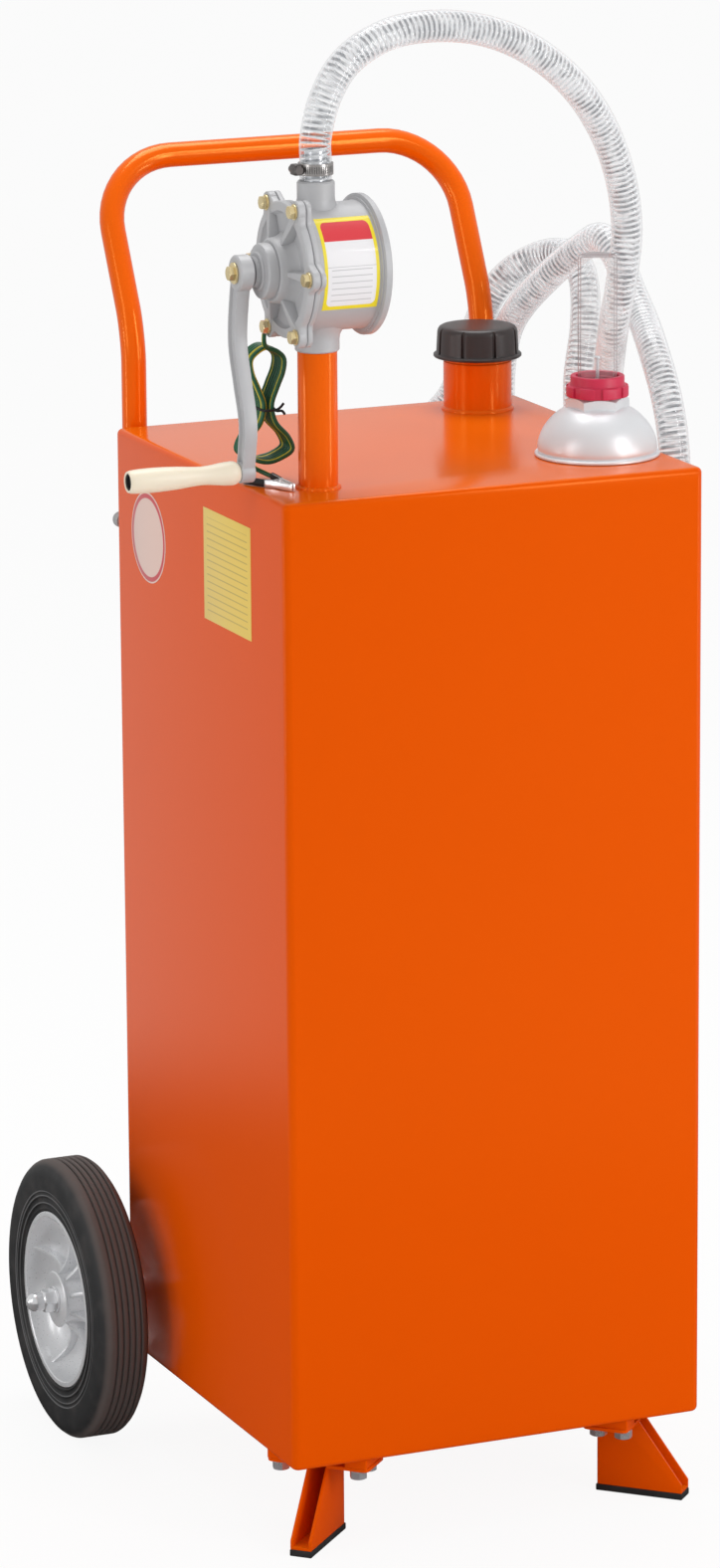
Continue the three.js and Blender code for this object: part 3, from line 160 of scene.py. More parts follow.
def floor_finish():
    """White to the eye, with the object's shadow. Its reflection has painted shade close to the
    object.
    """
    finish = Finish("studio_floor")
    rays = finish.add("ShaderNodeLightPath").socket.node.outputs
    shown = Signal(finish, rays["Is Camera Ray"]) + Signal(finish, rays["Is Transmission Ray"])
    mirrored = Signal(finish, rays["Is Glossy Ray"])
    x, y, _ = finish.axes()
    # Painted shade: seen in reflections, the floor glows dimly close to the object and brighter
    # beyond.
    far = x.hypot(y).ease(1.1, 1.6, 0.04, 0.56)
    tone = finish.mixed(finish.noise(1.5), tint(240, 240, 240), tint(244, 244, 243))
    matt = finish.add("ShaderNodeBsdfDiffuse", {}, {"Color": tone})
    white = finish.add(
        "ShaderNodeEmission", {}, {"Strength": shown.ease(0.0, 1.0) + mirrored * far})
    share = shown.ease(0.0, 1.0, 0.0, 0.92) + mirrored
    return finish.close(finish.add("ShaderNodeMixShader", {}, {0: share, 1: matt, 2: white}))


floor_mesh = bpy.data.meshes.new("studio_floor")
floor_shape = bmesh.new()
bmesh.ops.create_grid(floor_shape, x_segments=1, y_segments=1, size=14)
floor_shape.to_mesh(floor_mesh)
floor_shape.free()
floor_mesh.materials.append(floor_finish())
studio_floor = bpy.data.objects.new("studio_floor", floor_mesh)
scene.collection.objects.link(studio_floor)

room = Finish("white_room", bpy.data.worlds.new("white_room"))
room_rays = room.add("ShaderNodeLightPath").socket.node.outputs
room_shown = (
    Signal(room, room_rays["Is Camera Ray"]) + Signal(room, room_rays["Is Transmission Ray"]))
room.close(room.add(
    "ShaderNodeBackground", {}, {"Color": (1.0, 1.0, 1.0, 1.0),
                                 "Strength": room_shown.ease(0.0, 1.0, 0.6, 1.0)}))
scene.world = room.material


def lamp(name, place, aim, width, height, watts):
    light = bpy.data.lights.new(name, "AREA")
    light.shape = "RECTANGLE"
    light.size = width
    light.size_y = height
    light.energy = watts
    stand = bpy.data.objects.new(name, light)
    stand.visible_camera = False
    stand.location = place
    stand.rotation_euler = (Vector(aim) - Vector(place)).to_track_quat("-Z", "Y").to_euler()
    scene.collection.objects.link(stand)


lamp("key_lamp", (1.8, -3.4, 2.0), (0.0, 0.0, 0.7), 0.55, 2.6, 47)
lamp("side_lamp", (-3.2, -0.9, 1.9), (0.0, 0.0, 0.7), 0.8, 1.8, 14)
lamp("top_lamp", (0.3, 0.6, 3.2), (0.0, 0.0, 0.9), 1.4, 1.4, 32)
lamp("right_strip", (2.0, -1.7, 0.66), (0.0, 0.0, 0.66), 0.14, 1.2, 5.6)
lamp("left_strip", (-2.55, 0.5, 0.66), (0.0, 0.0, 0.66), 0.14, 1.2, 5)

yaw, pitch, roll = (math.radians(angle) for angle in (23.1786, 13.6625, -0.4216))
ahead = Vector((
    math.sin(yaw) * math.cos(pitch), math.cos(yaw) * math.cos(pitch), -math.sin(pitch)))
level = Vector((math.cos(yaw), -math.sin(yaw), 0.0))
above = level.cross(ahead)
across = level * math.cos(roll) + above * math.sin(roll)
upward = above * math.cos(roll) - level * math.sin(roll)
sensor, focal_pixels, photo_high = 36.0, 6648.98, 1576
lens = bpy.data.cameras.new("photo_camera")
lens.sensor_width = sensor
lens.lens = focal_pixels * sensor / photo_high
lens.clip_end = 60.0
camera = bpy.data.objects.new("photo_camera", lens)
camera.matrix_world = (
    Matrix.Translation((-2.2354, -5.20835, 1.9896))
    @ Matrix((across, upward, -ahead)).transposed().to_4x4())
scene.collection.objects.link(camera)
scene.camera = camera
scene.view_settings.view_transform = "Standard"

# Tank: 2 mm steel sheet wrapped round into a square wall, with a folded pan welded on at the top
# and at the bottom, ground flush and sprayed orange. Four short bars under it take the feet.
# Everything is drawn in millimetres, centred on the tank, and moved to the frame when finished.
tank_half = 193
tank_low, tank_high = 81, 924
sheet = 2
fold = 7
pan_rim = 5
pan_depth = 14
pump_x, pump_y = -137, -133
neck_x, neck_y = 134, 144
gauge_x, gauge_y = 136, -101
pump_spot, neck_spot, gauge_spot = (
    (x, y, 0) for x, y in ((pump_x, pump_y), (neck_x, neck_y), (gauge_x, gauge_y)))
to_frame = Matrix.Translation((0.0109, -0.06515, 0)) @ Matrix.Scale(0.001, 4)


def enamel(name, colour, darker, gloss):
    """Sprayed enamel. gloss is how strongly it mirrors: more on the tubes, where it lies thick."""
    finish = Finish(name)
    cloud = finish.noise(2.6, 2.0)
    peel = finish.noise(260.0, 1.0)
    dust = finish.noise(60.0, 3.0).ease(0.6, 0.8)
    # Painted highlight: faces that look upwards are painted a lighter, yellower orange.
    facing = finish.add("ShaderNodeNewGeometry", out="Normal")
    height = finish.add("ShaderNodeSeparateXYZ", {}, {0: facing}, out="Z")
    colour = finish.mixed(height.ease(0.7, 0.98), colour, tint(238, 112, 12))
    return finish.surface({
        "Base Color": finish.mixed(cloud * 0.7, colour, darker),
        "Roughness": 0.15 + cloud * 0.04 + dust * 0.03,
        "Specular IOR Level": gloss,
        "Specular Tint": (1.0, 0.45, 0.1, 1.0),
        "Normal": finish.bump(peel, 0.00004, 0.4),
    })


orange = enamel("orange_enamel", tint(231, 85, 0), tint(225, 80, 0), 0.32)
tube_orange = enamel("tube_enamel", tint(243, 96, 4), tint(236, 90, 2), 1.0)


def box(low, high):
    shape = bmesh.new()
    bmesh.ops.create_cube(shape, size=1)
    size = Vector(high) - Vector(low)
    bmesh.ops.scale(shape, vec=size, verts=shape.verts)
    bmesh.ops.translate(shape, vec=Vector(low) + size / 2, verts=shape.verts)
    return shape


def soften(shape, width, steps=3, sharper=30.0, where=None):
    """Rounds the edges that are sharper than an angle, or those of them that where picks."""
    edges = [
        edge for edge in shape.edges
        if edge.is_manifold and edge.calc_face_angle() > math.radians(sharper)
        and (where is None or where(edge))]
    bmesh.ops.bevel(
        shape, geom=edges, offset=width, offset_type="OFFSET", segments=steps,
        profile=0.5, affect="EDGES", clamp_overlap=True, material=-1)
    return shape


def upright(edge):
    one, other = (vert.co for vert in edge.verts)
    return abs(one.x - other.x) < 0.01 and abs(one.y - other.y) < 0.01


def spun(corners, axis, steps=96, centre=(0, 0, 0)):
    """A shape turned on a lathe. Each corner is (radius, place along the axis)."""
    shape = bmesh.new()
    verts = [shape.verts.new((radius, 0, along)) for radius, along in corners]
    edges = [
        shape.edges.new(pair) for pair in zip(verts, verts[1:] + verts[:1])
        if pair[0].co.x > 0 or pair[1].co.x > 0]
    bmesh.ops.spin(
        shape, geom=[*verts, *edges], cent=(0, 0, 0), axis=(0, 0, 1),
        angle=math.tau, steps=steps, use_merge=True)
    bmesh.ops.remove_doubles(shape, verts=shape.verts[:], dist=0.0005)
    bmesh.ops.recalc_face_normals(shape, faces=shape.faces[:])
    turn = {"X": (math.pi / 2, "Y"), "Y": (-math.pi / 2, "X"), "Z": (0.0, "Z")}[axis]
    bmesh.ops.rotate(shape, matrix=Matrix.Rotation(turn[0], 3, turn[1]), verts=shape.verts)
    bmesh.ops.translate(shape, vec=centre, verts=shape.verts)
    return shape


def pushed(outline, axis, low, high):
    """A flat outline pushed along an axis. X takes (y, z) corners, Y takes (x, z), Z (x, y)."""
    seat = {
        "X": lambda a, b: (low, a, b), "Y": lambda a, b: (a, low, b),
        "Z": lambda a, b: (a, b, low)}[axis]
    along = Vector([high - low if name == axis else 0 for name in "XYZ"])
    shape = bmesh.new()
    face = shape.faces.new([shape.verts.new(seat(a, b)) for a, b in outline])
    grown = bmesh.ops.extrude_face_region(shape, geom=[face])["geom"]
    ends = [part for part in grown if isinstance(part, bmesh.types.BMVert)]
    bmesh.ops.translate(shape, vec=along, verts=ends)
    bmesh.ops.recalc_face_normals(shape, faces=shape.faces[:])
    return shape


def turned(shape, turn, about="Z"):
    bmesh.ops.rotate(
        shape, matrix=Matrix.Rotation(math.radians(turn), 3, about), verts=shape.verts)
    return shape


def moved(shape, place, turn=0.0, about="Z"):
    """The shape turned about its own origin and then put in its place."""
    bmesh.ops.translate(turned(shape, turn, about), vec=place, verts=shape.verts)
    return shape


def joined(first, *others):
    for other in others:
        mesh = bpy.data.meshes.new("joined")
        other.to_mesh(mesh)
        other.free()
        first.from_mesh(mesh)
        bpy.data.meshes.remove(mesh)
    return first


def carved(shape, *tools):
    """The shape with the tools' volumes cut out of it."""
    for tool in tools:
        held = []
        for part in (shape, tool):
            mesh = bpy.data.meshes.new("carved")
            part.to_mesh(mesh)
            part.free()
            held.append(bpy.data.objects.new("carved", mesh))
            scene.collection.objects.link(held[-1])
        cutter = held[0].modifiers.new("cut", "BOOLEAN")
        cutter.operation = "DIFFERENCE"
        cutter.solver = "EXACT"
        cutter.object = held[1]
        graph = bpy.context.evaluated_depsgraph_get()
        result = bpy.data.meshes.new_from_object(held[0].evaluated_get(graph))
        shape = bmesh.new()
        shape.from_mesh(result)
        bpy.data.meshes.remove(result)
        for part in held:
            bpy.data.meshes.remove(part.data)
    return shape


def piece(name, shape, finish, body, slot, *nodes, sharp=32.0):
    """Makes a drawn shape a piece of the object that stands for those solids."""
    bmesh.ops.transform(shape, matrix=to_frame, verts=shape.verts)
    mesh = bpy.data.meshes.new(name)
    shape.to_mesh(mesh)
    shape.free()
    mesh.shade_smooth()
    mesh.set_sharp_from_angle(angle=math.radians(sharp))
    mesh.materials.append(finish)
    made = bpy.data.objects.new(name, mesh)
    scene.collection.objects.link(made)
    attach(made, body)
    if nodes:
        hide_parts(*nodes)
    return made


def bar(axis, radius, low, high, steps=64, centre=(0, 0, 0)):
    return spun([(0, low), (radius, low), (radius, high), (0, high)], axis, steps, centre)


def square_block(half, low, high, corner):
    shape = box((-half, -half, low), (half, half, high))
    return soften(shape, corner, 8, 30, upright)


wall = carved(
    square_block(tank_half, tank_low + pan_depth, tank_high - pan_depth, fold),
    square_block(tank_half - sheet, tank_low, tank_high, fold - sheet))
piece("tank_wall", wall, orange, "tank", "orange_paint", "tank_body")

top = square_block(tank_half, tank_high - pan_depth, tank_high, fold)
soften(top, pan_rim, 6, 60, lambda edge: all(v.co.z > tank_high - 0.1 for v in edge.verts))
top = carved(
    top,
    square_block(tank_half - sheet, tank_high - 2 * pan_depth, tank_high - sheet, fold - sheet),
    bar("Z", 13.9, tank_high - pan_depth, tank_high + 5, centre=pump_spot),
    bar("Z", 27, tank_high - pan_depth, tank_high + 5, centre=neck_spot),
    bar("Z", 20, tank_high - pan_depth, tank_high + 5, centre=gauge_spot))
piece("top_pan", top, orange, "tank", "orange_paint", "tank_top")

foot_bar_low = 72
foot_bolt_out = 36
foot_bolt_places = (45, 68)


def to_corner(shape, side):
    """Moves a piece drawn along +X from a foot's outer end into that foot's corner."""
    inset = tank_half - 9.3
    return moved(shape, (side * inset, -inset, 0), 45 if side < 0 else 135)


floor = square_block(tank_half, tank_low, tank_low + pan_depth, fold)
soften(floor, pan_rim, 6, 60, lambda edge: all(v.co.z < tank_low + 0.1 for v in edge.verts))
floor = carved(floor, square_block(
    tank_half - sheet, tank_low + sheet, tank_low + 2 * pan_depth, fold - sheet))
for side in (-1, 1):
    for out in (-foot_bolt_out, foot_bolt_out):
        foot_bar = soften(box((38, out - 10, foot_bar_low), (78, out + 10, tank_low + 1)), 0.8)
        floor = joined(floor, to_corner(foot_bar, side))
piece("floor_pan", floor, orange, "tank", "orange_paint", "tank_floor")

# Feet: each is a channel folded from 2.5 mm steel that stands across a front corner, open outwards,
# with an ear on each side. Four zinc-plated bolts hold it to the bars under the tank, and its sole
# is covered by a black rubber shoe.
foot_long = 79.5
foot_half = 9.65
foot_sheet = 2.5
ear_low, ear_high = 69, 72
sole = 6


def mottled(name, light, dark, cloud, grain, rough, relief, sockets):
    """A finish that drifts between two tints, with a fine grain.

    cloud and grain are the two noises. rough is the roughness and what each of the two adds to
    it, and relief is the depth and the strength of the grain."""
    finish = Finish(name)
    drift, fine = finish.noise(*cloud), finish.noise(*grain)
    level, from_drift, from_fine = rough
    gloss = level + fine * from_fine
    return finish.surface({
        "Base Color": finish.mixed(drift, light, dark),
        "Roughness": gloss + drift * from_drift if from_drift else gloss,
        "Normal": finish.bump(fine, *relief),
        **sockets,
    })


def plated(name, light, dark, rough):
    """Zinc-plated steel: bright and grey, a little cloudy from the bath."""
    return mottled(
        name, light, dark, (90.0, 3.0), (1400.0, 2.0), (rough, 0.12, 0.05), (0.00002, 0.4),
        {"Metallic": 0.7})


def rubber(name, colour, paler):
    """Moulded rubber: dull black, dusty in patches."""
    finish = Finish(name)
    cloud = finish.noise(35.0, 3.0)
    grain = finish.noise(1100.0, 2.0)
    return finish.surface({
        "Base Color": finish.mixed(cloud.ease(0.35, 0.75), colour, paler),
        "Roughness": 0.62 + grain * 0.14,
        "Specular IOR Level": 0.4,
        "Normal": finish.bump(grain, 0.00006, 0.5),
    })


zinc = plated("zinc_plate", tint(232, 233, 236), tint(204, 207, 212), 0.2)
bright_zinc = plated("bright_zinc_plate", tint(252, 252, 253), tint(232, 234, 237), 0.1)
black_rubber = rubber("black_rubber", tint(30, 30, 31), tint(46, 45, 45))


def hex_head(radius, low, high):
    """A hexagon along Z with the corners of its upper end turned off."""
    shape = bmesh.new()
    bmesh.ops.create_cone(
        shape, cap_ends=True, segments=6, radius1=radius, radius2=radius, depth=high - low)
    bmesh.ops.translate(shape, vec=(0, 0, (low + high) / 2), verts=shape.verts)
    ring = spun(
        [(0.85 * radius, high + 1), (1.3 * radius, high + 1),
         (1.3 * radius, high - 0.26 * radius), (0.85 * radius, high)], "Z", 48)
    return soften(carved(shape, ring), 0.03 * radius, 2, 25)


def hex_bolt(washer, washer_thick, head, head_high, shank, shank_long):
    """A bolt with its head up and the underside of its washer at z = 0."""
    return joined(
        soften(bar("Z", washer, 0, washer_thick, 48), 0.2, 2),
        hex_head(head, washer_thick, washer_thick + head_high),
        soften(bar("Z", shank, -shank_long, 0.5, 32), 0.4, 2))


for side, word in ((-1, "left"), (1, "right")):
    channel = box((0, -foot_half, sole), (foot_long, foot_half, tank_low))
    soften(channel, 3, 4, 30, lambda edge: upright(edge) and edge.verts[0].co.x > 1)
    channel = carved(
        channel,
        box((-1, foot_sheet - foot_half, sole + foot_sheet),
            (foot_long - foot_sheet, foot_half - foot_sheet, tank_low + 5)),
        pushed([(-3, 9.94), (52.5, 85.06), (-3, 85.06)], "Y", -12, 12))
    foot = soften(channel, 0.5, 2, 40)
    for out in (-1, 1):
        near, far = sorted((out * (foot_half - 1), out * 47))
        ear = box((38.5, near, ear_low), (foot_long, far, ear_high))
        soften(ear, 5, 4, 30, lambda edge: upright(edge) and abs(edge.verts[0].co.y) > 20)
        foot = joined(foot, soften(ear, 0.4, 2, 50))
        for number, along in enumerate(foot_bolt_places):
            bolt = hex_bolt(7.2, 0.5, 7.9, 6.7, 4, 10)
            moved(bolt, (along, out * foot_bolt_out, ear_low), 180, "X")
            name = f"{word}_foot_bolt_{1 if out < 0 else 2}"
            nodes = [name] if number == 0 else []
            piece(f"{name}_{'ab'[number]}", to_corner(bolt, side), zinc, "tank",
                  "zinc_steel", *nodes)
    piece(f"{word}_foot_channel", to_corner(foot, side), orange, "tank", "orange_paint",
          f"{word}_foot")
    shoe = soften(box((-0.5, -foot_half - 0.5, 0), (foot_long + 0.5, foot_half + 0.5, sole)), 1, 3)
    piece(f"{word}_foot_shoe", to_corner(shoe, side), black_rubber, "tank", "black_rubber",
          f"{word}_foot_pad")

# Axle: a plated 16 mm bar through a painted tube, which three saddles hold to the tank's back.
# A pressed-on ring stops each wheel on the inside.
axle_y, axle_z = 206, 127
axle_half, stub_half = 257, 277.8
axle = joined(
    bar("X", 8, -axle_half, axle_half),
    bar("X", 6, -stub_half, stub_half, 48),
    *(soften(bar("X", 14, low, low + 12), 1) for low in (-212.7, 200.7)))
piece("axle_bar", moved(axle, (0, axle_y, axle_z)), zinc, "tank", "zinc_steel", "axle")
axle_tube = spun(
    [(8.3, -200), (12, -200), (12, 200), (8.3, 200)], "X", 64, (0, axle_y, axle_z))
for saddle_x in (-150, 0, 150):
    saddle = box((saddle_x - 15, tank_half, axle_z - 12), (saddle_x + 15, axle_y, axle_z + 12))
    axle_tube = joined(axle_tube, soften(saddle, 1.2, 3))
piece("axle_tube", soften(axle_tube, 0.6, 2, 60), tube_orange, "tank", "orange_paint",
      "axle_housing")

# Wheels: a 10 inch solid rubber tyre with four grooves round its tread, on a grey painted cast rim
# with eight curved ribs. A wide washer and a plated dome nut hold each one on the axle.
wheel_x = 238
rim_out = 80
rim_half = 21.5


def tyre_rubber():
    """Rubber whose sidewall is darker than its tread and has fine mould rings."""
    finish = Finish("tyre_rubber")
    _, back_way, high = finish.axes()
    radius = (back_way - wheel_middle.y).hypot(high - wheel_middle.z)
    dust = finish.noise(40.0, 3.0).ease(0.4, 0.75)
    grain = finish.noise(900.0, 2.0)
    tread = radius.ease(0.1205, 0.1262)
    rings = (radius * 5200).only("SINE") * (1 - tread) * radius.ease(0.094, 0.097)
    colour = finish.mixed(tread, tint(38, 38, 39), tint(86, 78, 75))
    colour = finish.mixed(dust * 0.2, colour, tint(98, 91, 88))
    # Painted highlights: the crests of three mould rings near the rim are painted paler grey.
    for highlit_crest in (0.0881, 0.0946, 0.0986):
        near = (radius - highlit_crest).only("ABSOLUTE")
        colour = finish.mixed((1 - near.ease(0.0003, 0.0008)) * 0.7, colour, tint(112, 112, 113))
    return finish.surface({
        "Base Color": colour,
        "Roughness": 0.55 + grain * 0.12 + tread * 0.08,
        "Specular IOR Level": 0.45,
        "Normal": finish.bump(grain + rings * 0.25, 0.00008, 0.6),
    })


def tyre_side(out):
    """The corners of one side of a tyre, from its bore to its first groove."""
    corners = [
        (rim_out + 0.3, 20.4), (rim_out + 0.9, 21.5), (82.6, 22.2), (83.8, 20.9), (85.2, 20.6),
        (86.4, 20.9), (87.6, 22.6), (88.8, 22.6), (90.0, 21.1), (91.4, 20.8), (92.8, 21.1),
        (94.0, 22.7), (95.2, 22.7), (96.2, 21.9), (97.4, 21.9), (98.6, 22.9), (104, 23), (112, 23),
        (116.5, 22.6), (120.5, 21.4), (124, 19), (126.2, 16.2), (126.9, 14.4)]
    return [(radius, out * along) for radius, along in corners]


def tyre_groove(middle):
    return [
        (127, middle + 1.5), (126.3, middle + 1.0), (126.2, middle + 0.7), (124.9, middle + 0.5),
        (124.9, middle - 0.5), (126.2, middle - 0.7), (126.3, middle - 1.0), (127, middle - 1.5)]


wheel_middle = to_frame @ Vector((0, axle_y, axle_z))
rim_grey = mottled(
    "rim_grey_paint", tint(232, 233, 235), tint(218, 219, 221), (30.0, 3.0), (620.0, 3.0),
    (0.24, 0.0, 0.1), (0.00009, 0.5), {"Metallic": 0.35})
tyre_black = tyre_rubber()
for side, word in ((-1, "left"), (1, "right")):
    face = 0 if side > 0 else 180
    seat = (side * wheel_x, axle_y, axle_z)
    axle_end = (side * axle_half, axle_y, axle_z)
    tread = [corner for middle in (9.4, 3.8, -1.8, -7.4, -12.9) for corner in tyre_groove(middle)]
    tyre = spun([*tyre_side(1), *tread, *reversed(tyre_side(-1))], "X", 160)
    piece(f"{word}_tyre_tread", moved(tyre, seat, face), tyre_black, f"{word}_wheel",
          "tyre_black", f"{word}_tyre")

    rim = spun([
        (8.3, -25), (20.6, -25), (22, -23.6), (22, -12), (25, -10), (70, -10), (74, -12),
        (75.2, -20.8), (76, -rim_half), (rim_out, -rim_half), (rim_out, rim_half),
        (76, rim_half), (75.1, 20.8), (74.6, 17.4), (73.4, 12), (70.6, 6), (66, 1), (59.6, -3),
        (51, -5.6), (40, -6.6), (30, -6.6), (25.5, -5), (23.4, 0), (22.4, 12), (22, 17.6),
        (20.6, 19), (8.3, 19)], "X", 128)
    curve = [
        ((1 - t) ** 2 * 16.5 + 2 * t * (1 - t) * -14 + t ** 2 * 16.5,
         (1 - t) ** 2 * 21 + 2 * t * (1 - t) * 48 + t ** 2 * 74.9) for t in
        (step / 12 for step in range(13))]
    for number in range(8):
        rib = pushed([(-8, 21), *curve, (-8, 74.9)], "Y", -1.9, 1.9)
        inner_rib = pushed(
            [(-11, 21), (-22, 21), (-15, 48), (-19, 75.5), (-11, 75.5)], "Y", -1.9, 1.9)
        for one in (rib, inner_rib):
            soften(one, 0.9, 2, 40)
            rim = joined(rim, turned(one, 22.5 + 45 * number, "X"))
    piece(f"{word}_rim_casting", moved(soften(rim, 0.5, 2, 50), seat, face), rim_grey,
          f"{word}_wheel", "rim_grey", f"{word}_wheel_rim")

    disc = soften(spun([
        (6.4, 0.3), (25.6, 0.3), (25.6, 1.5), (24.6, 2.3), (6.4, 2.3)], "Z", 72), 0.2, 2)
    moved(disc, axle_end, 90 * side, "Y")
    piece(f"{word}_hub_disc", disc, rim_grey, "tank", "rim_grey")
    nut = joined(
        soften(spun([(6.4, 2.3), (12, 2.3), (12, 4.8), (6.4, 4.8)], "Z", 48), 0.5, 2),
        hex_head(11, 4.8, 14.8),
        spun([
            (0, 14), (9.2, 14), (9.2, 14.8), (8.5, 15.6), (8.5, 21.8),
            *[(8.5 * math.cos(turn), 21.8 + 8.5 * math.sin(turn)) for turn in
              (math.radians(step * 9) for step in range(1, 10))], (0, 30.3)],
            "Z", 64))
    moved(nut, axle_end, 90 * side, "Y")
    piece(f"{word}_dome_nut", nut, bright_zinc, "tank", "zinc_steel", f"{word}_axle_nut")

# Riser post: a painted 33 mm tube welded to the tank's top, which carries the pump. The suction
# pipe hangs inside it down to a slotted strainer just above the floor of the tank.
post_radius = 16.7
pump_z = 1110


def weld_bead(radius, thick, ripples):
    """A rippled bead of weld round a tube on the tank's top."""
    bead = spun([
        (radius + thick * math.cos(turn), thick * math.sin(turn)) for turn in
        (math.radians(step * 30) for step in range(12))], "Z", ripples * 6, (0, 0, tank_high))
    for vert in bead.verts:
        turn = math.atan2(vert.co.y, vert.co.x)
        out = math.hypot(vert.co.x, vert.co.y) - radius
        swell = 1 + 0.09 * math.cos(turn * ripples)
        vert.co.z = tank_high + (vert.co.z - tank_high) * swell
        vert.co.x = math.cos(turn) * (radius + out * swell)
        vert.co.y = math.sin(turn) * (radius + out * swell)
    return bead


post = joined(
    spun([
        (13.9, tank_high), (post_radius, tank_high), (post_radius, 1039.4), (16.1, 1040),
        (13.9, 1040)], "Z", 72),
    weld_bead(post_radius, 2.6, 26))
piece("riser_post", moved(post, pump_spot), tube_orange, "tank", "orange_paint",
      "pump_post")
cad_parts["suction_pipe"].material_slots[0].material = zinc

# Pump: an aluminium casting with a fine sandy skin, left in its pale grey paint. The body has a
# neck above and below and a six-lobed joint, and the cover has a ribbed dish round its boss.
# Six yellow zinc bolts hold the cover, and a gland closes it round the shaft.
pump_seat = (pump_x, pump_y, pump_z)
lobe_circle = 60.2
lobe_round = 9.5
joint_round = 57
chamber_radius, chamber_rise = 46, 3
chamber_back = 38
shaft_bore, shaft_bore_back = 7.3, 41
past_front, past_boss, cover_bore_back = -30, -60, -20


def casting(name, light, dark):
    finish = Finish(name)
    cloud = finish.noise(24.0, 3.0)
    sand = finish.noise(520.0, 4.0)
    pit = finish.noise(210.0, 2.0).ease(0.66, 0.8)
    return finish.surface({
        "Base Color": finish.mixed(cloud, light, dark),
        "Metallic": 0.1,
        "Roughness": 0.40 + sand * 0.12,
        "Normal": finish.bump(sand - pit * 0.6, 0.0001, 0.55),
    })


cast_grey = casting("cast_grey_paint", tint(192, 192, 194), tint(180, 180, 182))
brass = plated("yellow_zinc_plate", tint(250, 234, 188), tint(226, 202, 146), 0.16)


def lobed_outline():
    """The joint's outline: a circle with six lobes, eased into each other."""
    radii = []
    for step in range(240):
        off = math.radians(abs((step * 1.5 + 30) % 60 - 30))
        aside = lobe_circle * math.sin(off)
        lobe = lobe_circle * math.cos(off) + math.sqrt(max(0.0, lobe_round ** 2 - aside ** 2))
        radii.append(max(joint_round, lobe) if aside < lobe_round else joint_round)
    eased = [sum(radii[(i + k) % 240] for k in range(-2, 3)) / 5 for i in range(240)]
    return [
        (radius * math.cos(math.radians(step * 1.5)), radius * math.sin(math.radians(step * 1.5)))
        for step, radius in enumerate(eased)]


def hollowed(shape):
    """The shape with the pump's chamber, which lies above the shaft, and the shaft's bore."""
    return carved(
        shape, bar("X", chamber_radius, past_front, chamber_back, 96, (0, 0, chamber_rise)),
        bar("X", shaft_bore, past_boss, shaft_bore_back, 48))


body = joined(
    hollowed(soften(pushed(lobed_outline(), "X", -24.4, -19.8), 1.0, 3, 60)),
    hollowed(spun([
        (0, -24), (53.2, -24), (53.2, 34.6), (53.8, 35.6), (56, 36.2), (56, 37.2), (57.6, 37.5),
        (59, 38.4), (59, 42.8), (57.8, 44), (52, 44), (50.6, 43), (50, 41.6), (18, 41),
        (16.6, 41.8), (16, 43.4), (14.8, 44), (0, 44)], "X", 144)),
    hollowed(spun([
        (0, 46), (21, 46), (18, 51), (16.4, 55), (15.8, 58), (15.8, 71.2), (14.6, 72.6),
        (9.8, 72.6), (9.8, 58), (0, 58)], "Z", 72)),
    hollowed(spun([
        (0, -45), (0, -58), (13, -58), (13, -70), (17.6, -70), (18.7, -68.8), (18.7, -60),
        (19.3, -56), (22, -51), (26, -45)], "Z", 72)))
piece("pump_casting", moved(body, pump_seat), cast_grey, "tank", "cast_grey", "pump_body",
      sharp=40)

cover = carved(
    soften(pushed(lobed_outline(), "X", -31.6, -24.7), 1.4, 3, 60),
    spun([(0, -36), (51.5, -36), (49, -31.6), (47, -28), (46, -27.6), (0, -27.6)], "X", 120),
    bar("X", shaft_bore, past_boss, cover_bore_back, 48))
for number in range(6):
    rib = pushed([(22, -2.2), (51, -5.6), (56, -6.2), (56, 6.2), (51, 5.6), (22, 2.2)], "X",
                 -35.6, -26.6)
    for vert in rib.verts:
        if vert.co.x < -31:
            share = (vert.co.y - 22) / 34
            vert.co.x = -39 + 7.2 * share
            vert.co.z *= 0.72
    soften(rib, 0.8, 2, 25)
    cover = joined(cover, turned(rib, 60 * number, "X"))
    pad = spun([(0, -26), (9.2, -26), (9.2, -31), (8.6, -31.7), (0, -31.7)], "X",
               48, (0, lobe_circle, 0))
    cover = joined(cover, turned(pad, 60 * number, "X"))
boss = spun([
    (0, -26.6), (33, -26.6), (30.5, -29), (28.8, -32.1), (27.6, -35.6), (27, -41), (25.6, -42.6),
    (0, -42.6)], "X", 120)
boss = carved(boss, bar("X", shaft_bore, past_boss, cover_bore_back, 48))
piece("pump_cover_casting", moved(joined(cover, boss), pump_seat), cast_grey, "tank", "cast_grey",
      "pump_cover", sharp=40)

gland = spun([
    (7.4, -42.9), (23.3, -42.9), (23.3, -50), (22.8, -51.2), (21.6, -51.9), (16.8, -51.9),
    (16.2, -52.4), (16.2, -54.2), (15.6, -54.8), (12.8, -54.8), (12.4, -55.2), (13, -55.8),
    (12.4, -56.4), (13, -57), (12.4, -57.6), (13, -58.2), (12.4, -58.8), (7.4, -58.8)],
    "X", 96, pump_seat)
piece("gland_ring", gland, cast_grey, "tank", "cast_grey", "gland_nut")

for number in range(6):
    bolt = turned(hex_bolt(6.6, 1.2, 5.8, 4.5, 3, 11), -90, "Y")
    turn = math.pi + number * math.tau / 6
    moved(bolt, (pump_x - 31.9, pump_y + lobe_circle * math.cos(turn),
                 pump_z + lobe_circle * math.sin(turn)))
    piece(f"cover_hex_{number + 1}", bolt, brass, "tank", "brass_bolts",
          f"cover_bolt_{number + 1}")

# Pump sticker: printed vinyl film pressed round the front of the barrel, with a yellow border, a
# red head and a white field of blank rules.
pump_film_low, pump_film_high = (-14.8, -28.6), (34.4, 45)
film_radius, film_arc_radius = 53.35, 53.4


